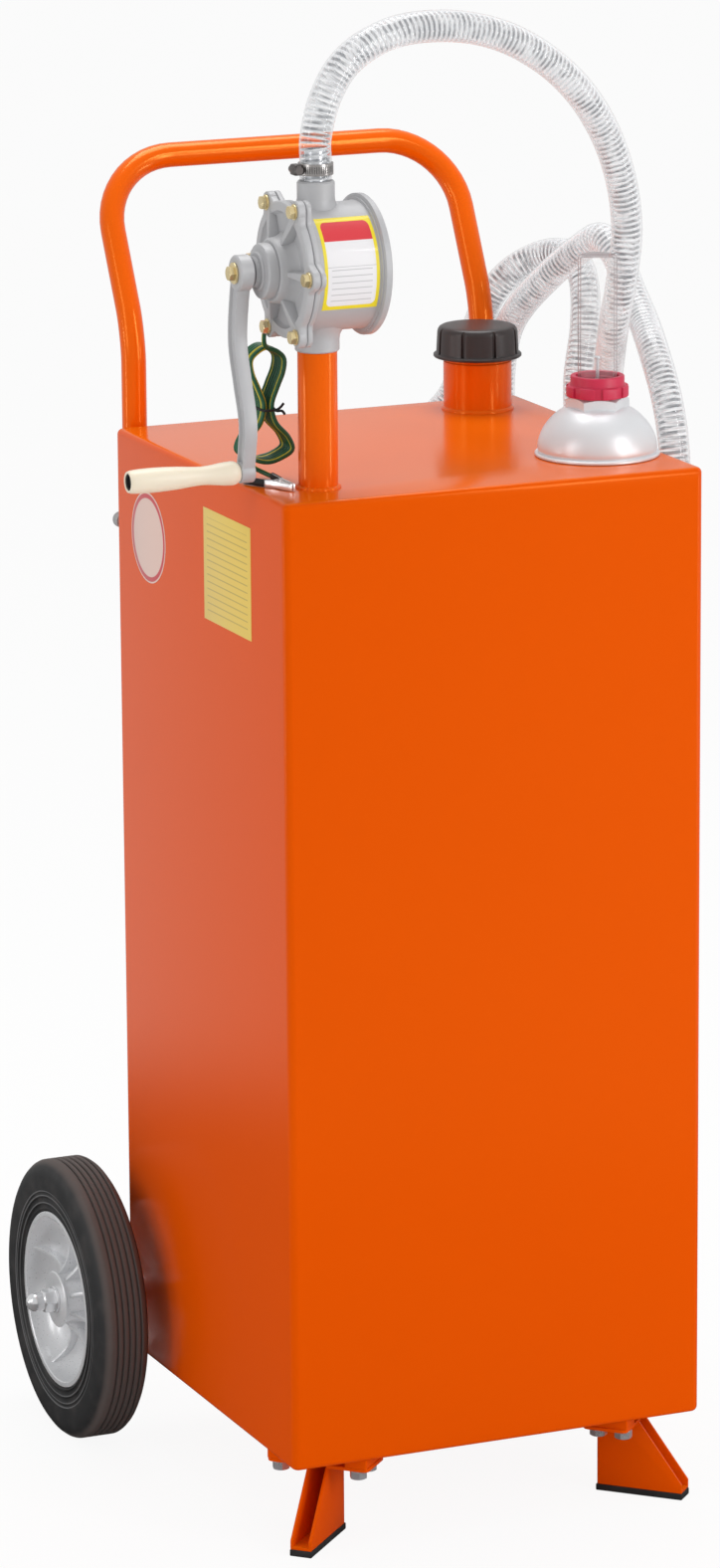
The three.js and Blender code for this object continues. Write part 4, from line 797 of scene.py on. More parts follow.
def pump_film():
    finish = Finish("pump_sticker_film")
    x, _, z = finish.axes()
    low = to_frame @ Vector((pump_x + pump_film_low[0], 0, pump_z + pump_film_low[1]))
    high = to_frame @ Vector((pump_x + pump_film_high[0], 0, pump_z + pump_film_high[1]))
    border, corner = 0.0028, 0.0045
    beyond = []
    for place, start, end in ((x, low.x, high.x), (z, low.z, high.z)):
        off = place - (start + end) / 2
        over = off.only("ABSOLUTE") - ((end - start) / 2 - border - corner)
        beyond.append(over.sum("MAXIMUM", over, 0.0))
    inside = 1 - beyond[0].hypot(beyond[1]).ease(corner - 0.0003, corner)
    head = (z - high.z).ease(-0.0172, -0.0168)
    rules = (
        ((z - low.z) / 0.0052).only("FRACT").band(0.36, 0.52, 0.06)
        * (1 - (z - low.z).ease(0.034, 0.0345))
        * (x - low.x).ease(0.0062, 0.0066) * (high.x - x).ease(0.0062, 0.0066))
    fold = (z - high.z).band(-0.0378, -0.0372, 0.0002)
    field = finish.mixed(
        (rules * 0.5 + fold * 0.5).ease(0.0, 1.0, 0.0, 0.8), tint(238, 236, 238), tint(90, 84, 92))
    field = finish.mixed(head, field, tint(222, 52, 62))
    return finish.surface({
        "Base Color": finish.mixed(inside, tint(244, 222, 30), field),
        "Roughness": 0.36 + finish.noise(600.0) * 0.1,
        "Coat Weight": 0.3,
        "Normal": finish.bump(finish.noise(150.0), 0.00005, 0.4),
    })


film_shape = bmesh.new()
bmesh.ops.create_grid(film_shape, x_segments=1, y_segments=36, size=0.5)
film_start, film_end = (
    math.asin(corner[1] / film_arc_radius) for corner in (pump_film_low, pump_film_high))
for vert in film_shape.verts:
    along = pump_film_low[0] + (vert.co.x + 0.5) * (pump_film_high[0] - pump_film_low[0])
    turn = film_start + (vert.co.y + 0.5) * (film_end - film_start)
    vert.co = (along, -film_radius * math.cos(turn), film_radius * math.sin(turn))
bmesh.ops.solidify(film_shape, geom=film_shape.faces[:], thickness=0.25)
bmesh.ops.recalc_face_normals(film_shape, faces=film_shape.faces[:])
piece("pump_sticker", moved(film_shape, pump_seat), pump_film(), "tank", "cast_grey")

# Rotor: an iron drum on the crank's shaft with two sliding vanes, hidden in the pump's chamber.
# Its solids are shown as they are, with a finish for each.
for name, finish in (("pump_shaft", zinc), ("pump_rotor", cast_grey), ("pump_vane_1", zinc),
                     ("pump_vane_2", zinc)):
    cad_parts[name].material_slots[0].material = finish

# Crank: a cast grey arm in a slow S with a recessed face, clamped on the shaft's end by a yellow
# zinc bolt. Its grip is smooth ivory plastic that turns on a steel pin.
arm_long = 167
arm_sway = [
    (0, 0), (0.12, 6), (0.36, 10.8), (0.55, 1.2), (0.75, -9.96), (0.9, -6.72), (1, -3)]
arm_back, arm_front = -60.8, -73.3


def smooth_route(points, spans=16):
    """The points of a centripetal curve through the given ones, as the solids have it."""
    knots = [Vector(point) for point in points]
    knots = [2 * knots[0] - knots[1], *knots, 2 * knots[-1] - knots[-2]]
    route = []
    for a, b, c, d in zip(knots, knots[1:], knots[2:], knots[3:]):
        before, within, after = ((q - p).length ** 0.5 for p, q in ((a, b), (b, c), (c, d)))
        leaving = ((b - a) / before - (c - a) / (before + within) + (c - b) / within) * within
        coming = ((c - b) / within - (d - b) / (within + after) + (d - c) / after) * within
        for step in range(spans):
            t = step / spans
            route.append(
                b + leaving * t + (-3 * b + 3 * c - 2 * leaving - coming) * t ** 2
                + (2 * b - 2 * c + leaving + coming) * t ** 3)
    return [*route, knots[-2]]


def strip_outline(route, half_start, half_end):
    """The outline of a strip along a route in y and z, which narrows from its start."""
    one, other = [], []
    for index, place in enumerate(route):
        half = half_start + (half_end - half_start) * index / (len(route) - 1)
        ahead_way = route[min(index + 1, len(route) - 1)] - route[max(index - 1, 0)]
        ahead_way.normalize()
        one.append((place.y - ahead_way.z * half, place.z + ahead_way.y * half))
        other.append((place.y + ahead_way.z * half, place.z - ahead_way.y * half))
    return [*one, *reversed(other)]


arm_route = smooth_route([(0, sway, -share * arm_long) for share, sway in arm_sway], 6)
arm = pushed(strip_outline(arm_route, 8.3, 6.4), "X", -72.8, -61.3)
for outward in (-1, 1):
    faces = [f for f in arm.faces if f.normal.x * outward > 0.9]
    bmesh.ops.inset_region(arm, faces=faces, thickness=1.6, depth=0)
    sunk = [f for f in arm.faces if f.normal.x * outward > 0.9 and len(f.verts) > 8]
    bmesh.ops.inset_region(arm, faces=sunk, thickness=0.7, depth=-2.8)
soften(arm, 0.8, 2, 50)
arm = joined(
    arm,
    spun([
        (0, -61.5), (11, -60.8), (14, -60.8), (15, -61.8), (15, -72.1), (13.8, -73.3), (0, -73.3)],
        "X", 72),
    soften(bar("X", 9, arm_front, arm_back, centre=(0, -3, -arm_long)), 1.0, 3))
piece("crank_arm_casting", moved(arm, pump_seat), cast_grey, "crank", "cast_grey", "crank_arm",
      sharp=40)

crank_hex = turned(hex_bolt(9, 1.5, 6.4, 4.5, 3.5, 12), -90, "Y")
piece("crank_hex", moved(crank_hex, (pump_x + arm_front - 0.3, pump_y, pump_z)), brass, "crank",
      "brass_bolts", "crank_bolt")

ivory = mottled(
    "ivory_plastic", tint(244, 234, 214), tint(236, 222, 196), (40.0, 2.0, (0.25, 1.0, 1.0)),
    (900.0, 2.0), (0.34, 0.0, 0.08), (0.00003, 0.4),
    {"Subsurface Weight": 0.08, "Subsurface Radius": (0.004, 0.003, 0.002)})
grip_seat = (pump_x, pump_y - 3, pump_z - arm_long)
grip_start, grip_end = -73.6, -172.1
grip_line = smooth_route([
    (share * (grip_start - grip_end), radius, 0) for share, radius in (
        (0, 8.8), (0.03, 9.6), (0.2, 10.35), (0.42, 9.6), (0.68, 7.8), (0.88, 9.8), (0.96, 9.8),
        (1, 7.8))], 8)
grip = spun([
    (4.3, grip_end + 6.5), (7, grip_end + 6.5), (7, grip_end + 0.4), (7.5, grip_end),
    *[(place.y, grip_end + place.x) for place in grip_line], (4.3, grip_start)],
    "X", 96, grip_seat)
piece("ivory_grip", soften(grip, 0.35, 2, 45), ivory, "grip", "grip_ivory", "crank_grip")
bush = spun([
    (5.5, grip_end + 1.4), (6.3, grip_end + 0.7), (6.9, grip_end + 0.7), (6.9, grip_end + 6.4),
    (5.5, grip_end + 6.4)],
    "X", 64, grip_seat)
piece("grip_bush", bush, black_rubber, "grip", "grip_ivory")
pin = bar("X", 4, grip_end + 5.8, arm_back, 48)
piece("grip_pin_bar", moved(pin, grip_seat), zinc, "crank", "zinc_steel", "grip_pin")
pin_head = soften(bar("X", 5.4, grip_end + 3.2, grip_end + 6.2, 48), 0.7, 2)
piece("grip_pin_head", moved(pin_head, grip_seat), black_rubber, "crank", "zinc_steel")

# Filling neck: a painted 61 mm tube welded to the tank's top. A rubber gasket sits on its rim and
# a moulded black cap with eight bays screws down on it.
neck_radius = 30.4
neck_high = 992
cap_low, cap_high = 971, 999
cap_radius = 36
cap_flange = 39.2
cap_bays = 8

neck = joined(
    spun([
        (28.4, tank_high), (neck_radius, tank_high), (neck_radius, 967), (29.6, 967.8),
        (29.6, neck_high - 0.6), (29, neck_high), (28.4, neck_high)], "Z", 96),
    spun([
        (30, tank_high), (neck_radius + 2, tank_high), (neck_radius + 2, tank_high + 0.9),
        (neck_radius + 1.4, tank_high + 2.2), (neck_radius + 0.4, tank_high + 3),
        (30, tank_high + 3)], "Z", 96))
piece("filling_neck", moved(neck, neck_spot), tube_orange, "tank", "orange_paint",
      "fill_neck")
gasket = soften(spun([
    (25.4, neck_high), (neck_radius, neck_high), (neck_radius, neck_high + 2.7),
    (25.4, neck_high + 2.7)], "Z", 72, neck_spot), 0.5, 2)
piece("cap_gasket_ring", gasket, black_rubber, "cap_seal", "black_rubber", "cap_gasket")

black_plastic = mottled(
    "cap_black_plastic", tint(56, 49, 48), tint(46, 40, 40), (45.0, 3.0), (1300.0, 2.0),
    (0.3, 0.0, 0.12), (0.00006, 0.5), {"Specular IOR Level": 0.5})
cap = spun([
    (0, neck_high + 3), (30.7, neck_high + 3), (30.7, cap_low), (cap_flange - 0.7, cap_low),
    (cap_flange, cap_low + 0.7), (cap_flange, cap_low + 2.3), (cap_flange - 0.8, cap_low + 3),
    (cap_radius + 1, cap_low + 3.3), (cap_radius + 0.6, cap_low + 5),
    (cap_radius - 0.3, cap_high - 5.8), (cap_radius - 0.8, cap_high - 3.6),
    (cap_radius - 2, cap_high - 1.7), (cap_radius - 3.9, cap_high - 0.6),
    (cap_radius - 6.2, cap_high - 0.2), (24, cap_high), (0, cap_high)], "Z", 144)
for number in range(cap_bays):
    groove = box((cap_radius - 2.6, -1.7, cap_low + 3.4), (cap_radius + 3, 1.7, cap_high + 3))
    soften(groove, 1.5, 4, 30, lambda edge: upright(edge) and edge.verts[0].co.x < cap_radius)
    cap = carved(cap, turned(groove, number * 360 / cap_bays))
piece("cap_moulding", moved(soften(cap, 0.5, 3, 40), neck_spot), black_plastic, "cap",
      "cap_black", "fill_cap")

# Sight gauge: a silver pressed dome with a hexagon on it, a crimson collar in two notched rings
# and a clear tube of acrylic, in which a steel rod rides on the float inside the tank.
dome_low, dome_high = 924.3, 967
hex_high = 975
collar_low, collar_step, collar_high = 975.3, 984.8, 993.3
dome_silver = mottled(
    "dome_silver_paint", tint(238, 239, 241), tint(228, 230, 233), (22.0, 2.0), (1500.0, 2.0),
    (0.33, 0.04, 0.06), (0.00003, 0.5), {"Metallic": 0.4})
crimson = mottled(
    "collar_crimson", tint(214, 44, 82), tint(196, 34, 70), (40.0, 2.0), (1200.0, 2.0),
    (0.36, 0.0, 0.1), (0.00004, 0.5), {})


def clear_tube():
    """Clear acrylic. Its edges are painted dark red-grey: painted shade and a painted reflection of
    the red collar, as the photograph shows.
    """
    finish = Finish("clear_acrylic")
    facing = finish.add("ShaderNodeLayerWeight", {}, {"Blend": 0.5}, out="Facing")
    cloud = finish.noise(60.0, 3.0)
    # Painted shade and reflection: the edges as seen are painted darker, red-tinted and more
    # opaque.
    edge = facing.ease(0.6, 0.85)
    return finish.surface({
        "Base Color": finish.mixed(edge, tint(250, 252, 252), tint(118, 74, 80)),
        "Roughness": 0.04 + cloud * 0.05,
        "IOR": 1.49,
        "Alpha": 0.05 + edge * 0.9,
        "Coat Weight": 0.5,
        "Coat Roughness": 0.03,
        "Normal": finish.bump(cloud, 0.00005, 0.4),
    })


dome_line = smooth_route([
    (50.3, 0, 927.4), (51.3, 0, 930.5), (50.4, 0, 938), (46.2, 0, 948), (39, 0, 957),
    (31, 0, 963.4), (25, 0, 966.2), (19, 0, dome_high)], 6)
dome = spun([
    (17.2, dome_high - 2), (30, dome_high - 6), (42, dome_high - 15), (48.2, dome_low + 6),
    (50, dome_low), (53.1, dome_low), (53.8, dome_low + 0.8), (53.7, dome_low + 2.2),
    (52.7, dome_low + 3), (51.4, dome_low + 2.7),
    *[(place.x, place.z) for place in dome_line], (17.2, dome_high)], "Z", 144)
hexagon = carved(
    turned(hex_head(27.5, dome_high - 4, hex_high), 10),
    bar("Z", 17, dome_high - 8, hex_high + 4))
piece("gauge_dome_pressing", moved(joined(dome, hexagon), gauge_spot),
      dome_silver, "tank", "dome_silver", "gauge_dome")

collar = spun([
    (17.2, collar_low), (26.3, collar_low), (26.9, collar_low + 0.6), (26.9, collar_step - 0.8),
    (26.1, collar_step), (23.9, collar_step), (23.2, collar_step + 0.5), (23.2, collar_high - 0.7),
    (22.5, collar_high), (19.2, collar_high), (18.6, collar_high - 0.6), (18.6, collar_high - 4),
    (17.2, collar_high - 4.6)], "Z", 112)
for number in range(8):
    notch = box((24.9, -3.5, collar_low - 1), (30, 3.5, collar_step + 1))
    collar = carved(collar, turned(notch, 22.5 + number * 45))
piece("collar_rings", moved(soften(collar, 0.35, 2, 40), gauge_spot), crimson, "tank",
      "collar_crimson", "gauge_collar")

tube = spun([
    (14.8, collar_low), (16.8, collar_low), (16.8, 1094), (16.4, 1095.5), (15.3, 1096.6),
    (13.8, 1097), (0, 1097), (0, 1095), (13.2, 1095), (14.4, 1094.4), (14.8, 1093.2)],
    "Z", 96)
piece("clear_dome_tube", moved(tube, gauge_spot), clear_tube(), "tank",
      "clear_plastic", "gauge_tube")
rod = joined(
    bar("Z", 1.5, 500, 1008.6, 32),
    soften(bar("Z", 2.6, 1006.6, 1009.3, 32), 0.6, 2))
piece("gauge_rod_bar", moved(rod, gauge_spot), zinc, "rod", "zinc_steel", "gauge_rod")
for name, finish in (("gauge_stem", zinc), ("float_arm", zinc), ("gauge_float", black_plastic)):
    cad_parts[name].material_slots[0].material = finish

# Handle: a 22 mm steel tube bent in one piece, with its two legs welded flat on the tank's back.
# It leans away above the tank and has wide corners at the top.
handle_half = 168
handle_radius = 11
handle_leg_y, handle_top_y = 209.6, 285.6
handle_low, handle_bend, handle_high = 764, 1002, 1147
pad_half, pad_half_high = 9, 17


def bent(knots, steps=14):
    """A route with straight runs and smooth bends: (place, bend) pairs, bend 0 for an end."""
    route = [Vector(knots[0][0])]
    for (before, _), (corner, reach), (after, _) in zip(knots, knots[1:], knots[2:]):
        corner = Vector(corner)
        start = corner + (Vector(before) - corner).normalized() * reach
        end = corner + (Vector(after) - corner).normalized() * reach
        share = 0.5523
        route.extend(geometry.interpolate_bezier(
            start, start.lerp(corner, share), end.lerp(corner, share), end, steps))
    route.append(Vector(knots[-1][0]))
    return route


left_route = [
    ((-handle_half, handle_leg_y, handle_low), 0), ((-handle_half, handle_leg_y, handle_bend), 26),
    ((-handle_half, handle_top_y, handle_high), 67)]
handle_route = bent(
    [*left_route, *(((-x, y, z), reach) for (x, y, z), reach in reversed(left_route))])


def tube_along(route, radius, sides, closed=True):
    """A round tube whose rings sit on the route's points, one ring after the other."""
    line = bpy.data.curves.new("route", "CURVE")
    line.dimensions = "3D"
    line.twist_mode = "MINIMUM"
    line.bevel_depth = radius
    line.bevel_resolution = (sides - 4) // 2
    line.use_fill_caps = closed
    spline = line.splines.new("POLY")
    spline.points.add(len(route) - 1)
    for point, place in zip(spline.points, route):
        point.co = (*place, 1.0)
    holder = bpy.data.objects.new("route", line)
    mesh = bpy.data.meshes.new_from_object(holder)
    shape = bmesh.new()
    shape.from_mesh(mesh)
    bpy.data.objects.remove(holder)
    bpy.data.curves.remove(line)
    bpy.data.meshes.remove(mesh)
    shape.verts.ensure_lookup_table()
    return shape


handle = tube_along(handle_route, handle_radius, 28)
for side in (-1, 1):
    for pad_z in (784, 880):
        pad = box(
            (side * handle_half - pad_half, tank_half, pad_z - pad_half_high),
            (side * handle_half + pad_half, handle_leg_y, pad_z + pad_half_high))
        handle = joined(handle, soften(pad, 1.6, 3))
piece("handle_tube", handle, tube_orange, "tank", "orange_paint", "handle", sharp=45)

# Bumper: a short round stud of moulded grey rubber, with its outer edge rounded. It stands on the
# tank's back wall, close to the left corner.
bumper = spun([
    (0, tank_half), (7, tank_half), (7, 203), (6.4, 204.6), (5, 206), (0, 206)], "Y",
    48, (-185.7, 0, 840))
piece("bumper_stud", bumper,
      rubber("bumper_grey_rubber", tint(150, 150, 152), tint(172, 171, 170)), "tank",
      "bumper_grey", "rear_bumper")

# Delivery hose: clear soft PVC with a stiff white spiral moulded into its wall, which ribs it.
# It climbs from the pump, hangs beside the tank, goes over a hump and down behind the tank, and
# comes back over the hump to the nozzle. It follows the same points as the solid.
hose_points = [
    (-137, -133, 1184), (-137, -133, 1200), (-137, -133, 1216),
    (-128, -132, 1249), (-107, -128, 1278),
    (-66, -121, 1298), (-10, -112, 1301), (42, -103, 1290), (88, -93, 1267),
    (128, -82, 1234), (158, -71, 1194), (177, -62, 1151), (186, -54, 1108),
    (186, -44, 1063), (188, -24, 1020), (201, 14, 976), (214, 54, 925),
    (215, 62, 872), (213, 44, 812), (212, 8, 772), (212, -30, 759),
    (212, -70, 776), (210, -96, 823), (209, -104, 885), (208, -101, 933),
    (209, -86, 965), (214, -52, 997), (225, -6, 1019), (228, 28, 1042),
    (226, 51, 1068), (223, 77, 1080), (216, 104, 1067), (204, 144, 1038),
    (195, 186, 1004), (197, 220, 974), (197, 232, 941), (198, 236, 905),
    (204, 243, 860), (202, 250, 808), (182, 255, 766), (147, 256, 750),
    (112, 256, 766), (94, 255, 804), (98, 254, 848), (125, 252, 884),
    (156, 249, 916), (168, 246, 948), (179, 244, 979), (192, 242, 1007),
    (210, 232, 1030), (230, 212, 1045), (241, 182, 1048), (241, 152, 1033),
    (232, 128, 995), (220, 116, 950), (219, 114, 917), (219, 114, 901), (219, 114, 885)]
hose_radius = 13.5
hose_pitch = 5
hose_groove = 0.12
spiral_radius = 0.8


def evened(route, pitch):
    """The route again, with its points evenly spaced about a pitch apart."""
    lengths = [0.0]
    for one, other in zip(route, route[1:]):
        lengths.append(lengths[-1] + (other - one).length)
    count = round(lengths[-1] / pitch)
    spaced, at = [], 0
    for i in range(count + 1):
        wanted = lengths[-1] * i / count
        while at < len(route) - 2 and lengths[at + 1] < wanted:
            at += 1
        share = (wanted - lengths[at]) / (lengths[at + 1] - lengths[at])
        spaced.append(route[at].lerp(route[at + 1], share))
    return spaced


def hose_wall_finish():
    """Clear PVC, white where the spiral lies in it, with painted shade between the turns."""
    finish = Finish("clear_hose_wall")
    facing = finish.add("ShaderNodeLayerWeight", {}, {"Blend": 0.5}, out="Facing")
    coil = finish.add("ShaderNodeAttribute", {"attribute_name": "coil"}, out="Fac")
    gap = 1 - coil.ease(-0.3, 0.5)
    cloud = finish.noise(170.0, 3.0)
    patch = finish.noise(70.0, 2.0).ease(0.4, 0.62)
    # Painted shade: where the hose faces the eye, the gaps between the turns are painted grey,
    # opaque in patches.
    middle = 1 - facing.ease(0.3, 0.75)
    grey = gap * middle
    # Painted sheen: towards its edges as seen, the wall is painted a more opaque white.
    edge = facing.ease(0.3, 0.9)
    colour = finish.mixed(grey, tint(236, 237, 239), tint(84, 88, 95))
    return finish.surface({
        "Base Color": colour,
        "Roughness": 0.05 + cloud * 0.06,
        "IOR": 1.5,
        "Alpha": 0.2 + gap * patch * middle * 0.48 + (1 - grey) * edge * 0.5,
        "Coat Weight": 1.0,
        "Coat Roughness": 0.08,
        # Painted light: the wall glows a little in its own colour, though it is no lamp.
        "Emission Color": colour,
        "Emission Strength": 0.14,
        "Normal": finish.bump(cloud, 0.0001, 0.4),
    })


def hose_spiral_finish():
    finish = Finish("hose_spiral")
    cloud = finish.noise(240.0, 2.0)
    return finish.surface({
        "Base Color": finish.mixed(cloud, tint(250, 251, 252), tint(226, 229, 232)),
        "Roughness": 0.22 + cloud * 0.12,
        # Painted light: the spiral glows a little white, though it is no lamp.
        "Emission Color": finish.mixed(cloud, tint(255, 255, 255), tint(220, 220, 220)),
        "Emission Strength": 0.12,
    })


hose_rings = 7
hose_sides = 20
hose_route = evened(smooth_route(hose_points), hose_pitch / hose_rings)
hose_shape = tube_along(hose_route, hose_radius, hose_sides)
hose_coil = []
for index in range(len(hose_route) * hose_sides):
    ring, place = divmod(index, hose_sides)
    vert = hose_shape.verts[index]
    hose_coil.append(math.cos(math.tau * (ring / hose_rings - place / hose_sides)))
    inward = (hose_route[ring] - vert.co).normalized()
    vert.co += inward * hose_groove * (1 - hose_coil[-1]) / 2
hose_length = sum((b - a).length for a, b in zip(hose_route, hose_route[1:])) / 1000

spiral_steps = 14
spiral_path = evened(smooth_route(hose_points), hose_pitch / spiral_steps)
guide = tube_along(spiral_path, hose_radius - 1.8, spiral_steps, closed=False)
spiral = [
    guide.verts[ring * spiral_steps + ring % spiral_steps].co.copy()
    for ring in range(len(spiral_path))]
guide.free()
hose_spiral = piece(
    "hose_spiral", tube_along(spiral, spiral_radius, 6), hose_spiral_finish(), "tank",
    "clear_plastic")
hose_piece = piece(
    "hose_wall", hose_shape, hose_wall_finish(), "tank", "clear_plastic", "hose", sharp=70)
coil = hose_piece.data.attributes.new("coil", "FLOAT", "POINT")
for value, share in zip(coil.data, hose_coil):
    value.value = share
hose_line = [to_frame @ place for place in hose_route]

# Hose clamp: a plated worm-drive band with cut slots, its screw housing on the left. It closes the
# hose on the pump's outlet nipple, a plated tube screwed into the neck.
clamp_low, clamp_high = 1187.6, 1197.6
nipple = spun([
    (7, 1167.6), (9.5, 1167.6), (9.5, 1207.4), (8.8, 1208.6), (7, 1208.6)], "Z",
    72, pump_spot)
piece("outlet_nipple_tube", nipple, zinc, "tank", "zinc_steel", "outlet_nipple")


def band_steel():
    finish = Finish("clamp_band_steel")
    x, y, z = finish.axes()
    seat = to_frame @ Vector((pump_x, pump_y, (clamp_low + clamp_high) / 2))
    east, north = x - seat.x, y - seat.y
    turn = north.sum("ARCTAN2", north, east) * (48 / math.tau)
    middle = (z - seat.z).only("ABSOLUTE")
    # Painted shade: the slots are not cut but painted near black where the band's openings would
    # be.
    slot = turn.only("FRACT").band(0.3, 0.62, 0.08) * (1 - middle.ease(0.0026, 0.003))
    fine = finish.noise(1300.0, 2.0)
    return finish.surface({
        "Base Color": finish.mixed(slot, tint(176, 172, 170), tint(40, 38, 38)),
        "Metallic": 0.9,
        "Roughness": 0.22 + fine * 0.08,
        "Normal": finish.bump(fine * 0.1 - slot, 0.0004, 0.7),
    })


band = soften(spun([
    (13.8, clamp_low), (14.8, clamp_low), (14.8, clamp_high), (13.8, clamp_high)], "Z",
    96, pump_spot), 0.25, 2)
piece("clamp_band", band, band_steel(), "tank", "zinc_steel", "hose_clamp")
housing = soften(box((-21.6, -6.2, clamp_low + 0.4), (-14.3, 4.6, clamp_high - 0.4)), 1.6, 3)
screw = joined(
    soften(bar("Y", 3.3, -7, 7, 40, (-18.5, 0, (clamp_low + clamp_high) / 2)), 0.5, 2),
    moved(hex_head(4, 0, 2.8), (-18.5, -6.6, (clamp_low + clamp_high) / 2), 90, "X"))
piece("clamp_screw", moved(joined(housing, screw), pump_spot),
      plated("dark_steel", tint(112, 106, 104), tint(78, 73, 72), 0.26), "tank", "zinc_steel")

# Nozzle: a black moulded body with a guard round its steel trigger lever and a bare spout. It
# hangs spout down in a folded orange holster on the tank's right side.
nozzle_seat = (219, 114, 885)
nozzle_low = -170.3
lever_pin_out, lever_pin_z = 24, -32.3

nozzle_body = joined(
    spun([
        (7, 19.7), (8.4, 19.7), (9.3, 17.6), (8.7, 15.4), (9.4, 13.2), (8.7, 11), (9.4, 8.8),
        (8.7, 6.6), (9.4, 4.4), (9.4, -0.3), (12.2, -0.3), (13, -1.4), (13, -14), (12.2, -15.4),
        (12.2, -18.6), (13, -20), (13, -58), (12.1, -66), (12.1, -128), (13, -136),
        (13, nozzle_low + 1.2), (12, nozzle_low), (9.5, nozzle_low), (9.5, nozzle_low - 65),
        (8.6, nozzle_low - 66), (7, nozzle_low - 66)], "Z", 72))
guard_top, guard_low = -20.3, -138.3


def guard_corner(edge):
    """Whether an edge is one of the two outer corners of the trigger's guard."""
    one, other = (vert.co for vert in edge.verts)
    return min(one.x, other.x) > 20 and abs(one.y - other.y) > 1


guard = carved(
    soften(box((0, -4, guard_low), (44, 4, guard_top)), 9, 6, 30, guard_corner),
    soften(box((-3, -6, guard_low + 4), (40, 6, guard_top - 4)), 6, 6, 30, guard_corner))
soften(guard, 0.9, 2, 50)
for out in (-1, 1):
    near, far = sorted((out * 2.5, out * 4))
    ear = joined(
        box((10, near, lever_pin_z - 4), (lever_pin_out, far, guard_top - 0.5)),
        bar("Y", 5.5, near, far, 40, (lever_pin_out, 0, lever_pin_z)))
    nozzle_body = joined(nozzle_body, soften(ear, 0.3, 2, 50))
nozzle_body = joined(
    nozzle_body, guard, bar("Y", 2.5, -3.6, 3.6, 32, (lever_pin_out, 0, lever_pin_z)))
piece("nozzle_moulding", moved(nozzle_body, nozzle_seat), black_plastic, "tank", "cap_black",
      "nozzle_body", sharp=40)

lever = joined(
    soften(spun([(2.8, -2.2), (5.5, -2.2), (5.5, 2.2), (2.8, 2.2)], "Y", 48), 0.4, 2),
    soften(box((-2, -2.2, -92), (2, 2.2, -4.6)), 0.9, 3))
turned(lever, -8, "Y")
moved(lever, (lever_pin_out, 0, lever_pin_z))
piece("nozzle_trigger", moved(lever, nozzle_seat), zinc, "lever", "zinc_steel", "nozzle_lever")

holster = soften(box((-26, -22, -261.3), (-23, 22, -171.3)), 4, 4, 30, lambda edge: abs(
    edge.verts[0].co.x - edge.verts[1].co.x) > 1)
soften(holster, 0.7, 2, 50)
web = soften(box((-24, -5, -213.6), (-11, 5, -171.6)), 0.8)
cup = soften(spun([
    (10.2, -214.6), (13.5, -214.6), (13.5, -170.6), (10.2, -170.6)], "Z", 72), 0.9)
holster = joined(holster, web, cup)
for bolt_z in (-184, -248):
    for out in (-14, 14):
        head = turned(hex_bolt(6, 1.2, 5, 3.6, 3, 5), 90, "Y")
        piece(f"holster_bolt_{'ab'[bolt_z < -200]}{'lr'[out > 0]}",
              moved(moved(head, (-23, out, bolt_z)), nozzle_seat), zinc, "tank", "zinc_steel")
piece("holster_bracket", moved(holster, nozzle_seat), orange, "tank", "orange_paint",
      "nozzle_holster")

# Earthing lead: green insulated wire with a yellow stripe, from the pump cover's lower rear bolt
# to a hank of five and a half loops that a black twist tie holds at its waist, and on to its
# spring clip.
lead_radius = 2
hank_loops = 5.5
hank_steps = 20
hank_x, hank_y, hank_z = -166, -97, 989.5
hank_half_high = 48.5
hank_pitch = 4.7
hank_waist = 0.45


def hank_half(share):
    """Half the width of the hank's loops at a share of their height."""
    lobe, span = (15, 1 - hank_waist) if share > hank_waist else (23, hank_waist)
    away = abs(share - hank_waist) / span
    return 2.6 + (lobe - 2.6) * math.sin(away * math.pi * 0.62) ** 2


def lead_insulation():
    finish = Finish("lead_insulation")
    stripe = finish.add("ShaderNodeAttribute", {"attribute_name": "stripe"}, out="Fac")
    fine = finish.noise(1200.0, 2.0)
    return finish.surface({
        "Base Color": finish.mixed(
            stripe.ease(0.84, 0.9), tint(18, 92, 58), tint(206, 192, 44)),
        "Roughness": 0.34 + fine * 0.1,
        "Normal": finish.bump(fine, 0.00003, 0.4),
    })


lead_points = [(-172.3, -102.9, 1051.8), (-172.3, -102.2, 1047), (-170.4, -99.6, 1041.5)]
for number in range(round(hank_loops * hank_steps) + 1):
    turn = number / hank_steps * math.tau
    swing = math.sin(turn)
    reach = math.copysign(min(1.0, abs(swing) * 1.6), swing)
    lead_points.append((
        hank_x + reach * hank_half((math.cos(turn) + 1) / 2),
        hank_y + number / hank_steps * hank_pitch,
        hank_z + hank_half_high * math.cos(turn)))
lead_points += [
    (-170.5, -70, 938.5), (-171, -73.5, 933.5), (-166, -77.5, 930.2), (-162, -82.5, 928.1),
    (-160.7, -88.45, 927.5)]
lead_route = evened(smooth_route(lead_points), 2.4)
lead_sides = 12
lead = tube_along(lead_route, lead_radius, lead_sides)
lead_length = sum((b - a).length for a, b in zip(lead_route, lead_route[1:])) / 1000
lead_piece = piece("lead_wire", lead, lead_insulation(), "tank", "lead_green", "ground_wire",
                   sharp=70)
stripe = lead_piece.data.attributes.new("stripe", "FLOAT", "POINT")
for index, value in enumerate(stripe.data):
    value.value = math.cos(math.tau * (index % lead_sides) / lead_sides + index / 900)

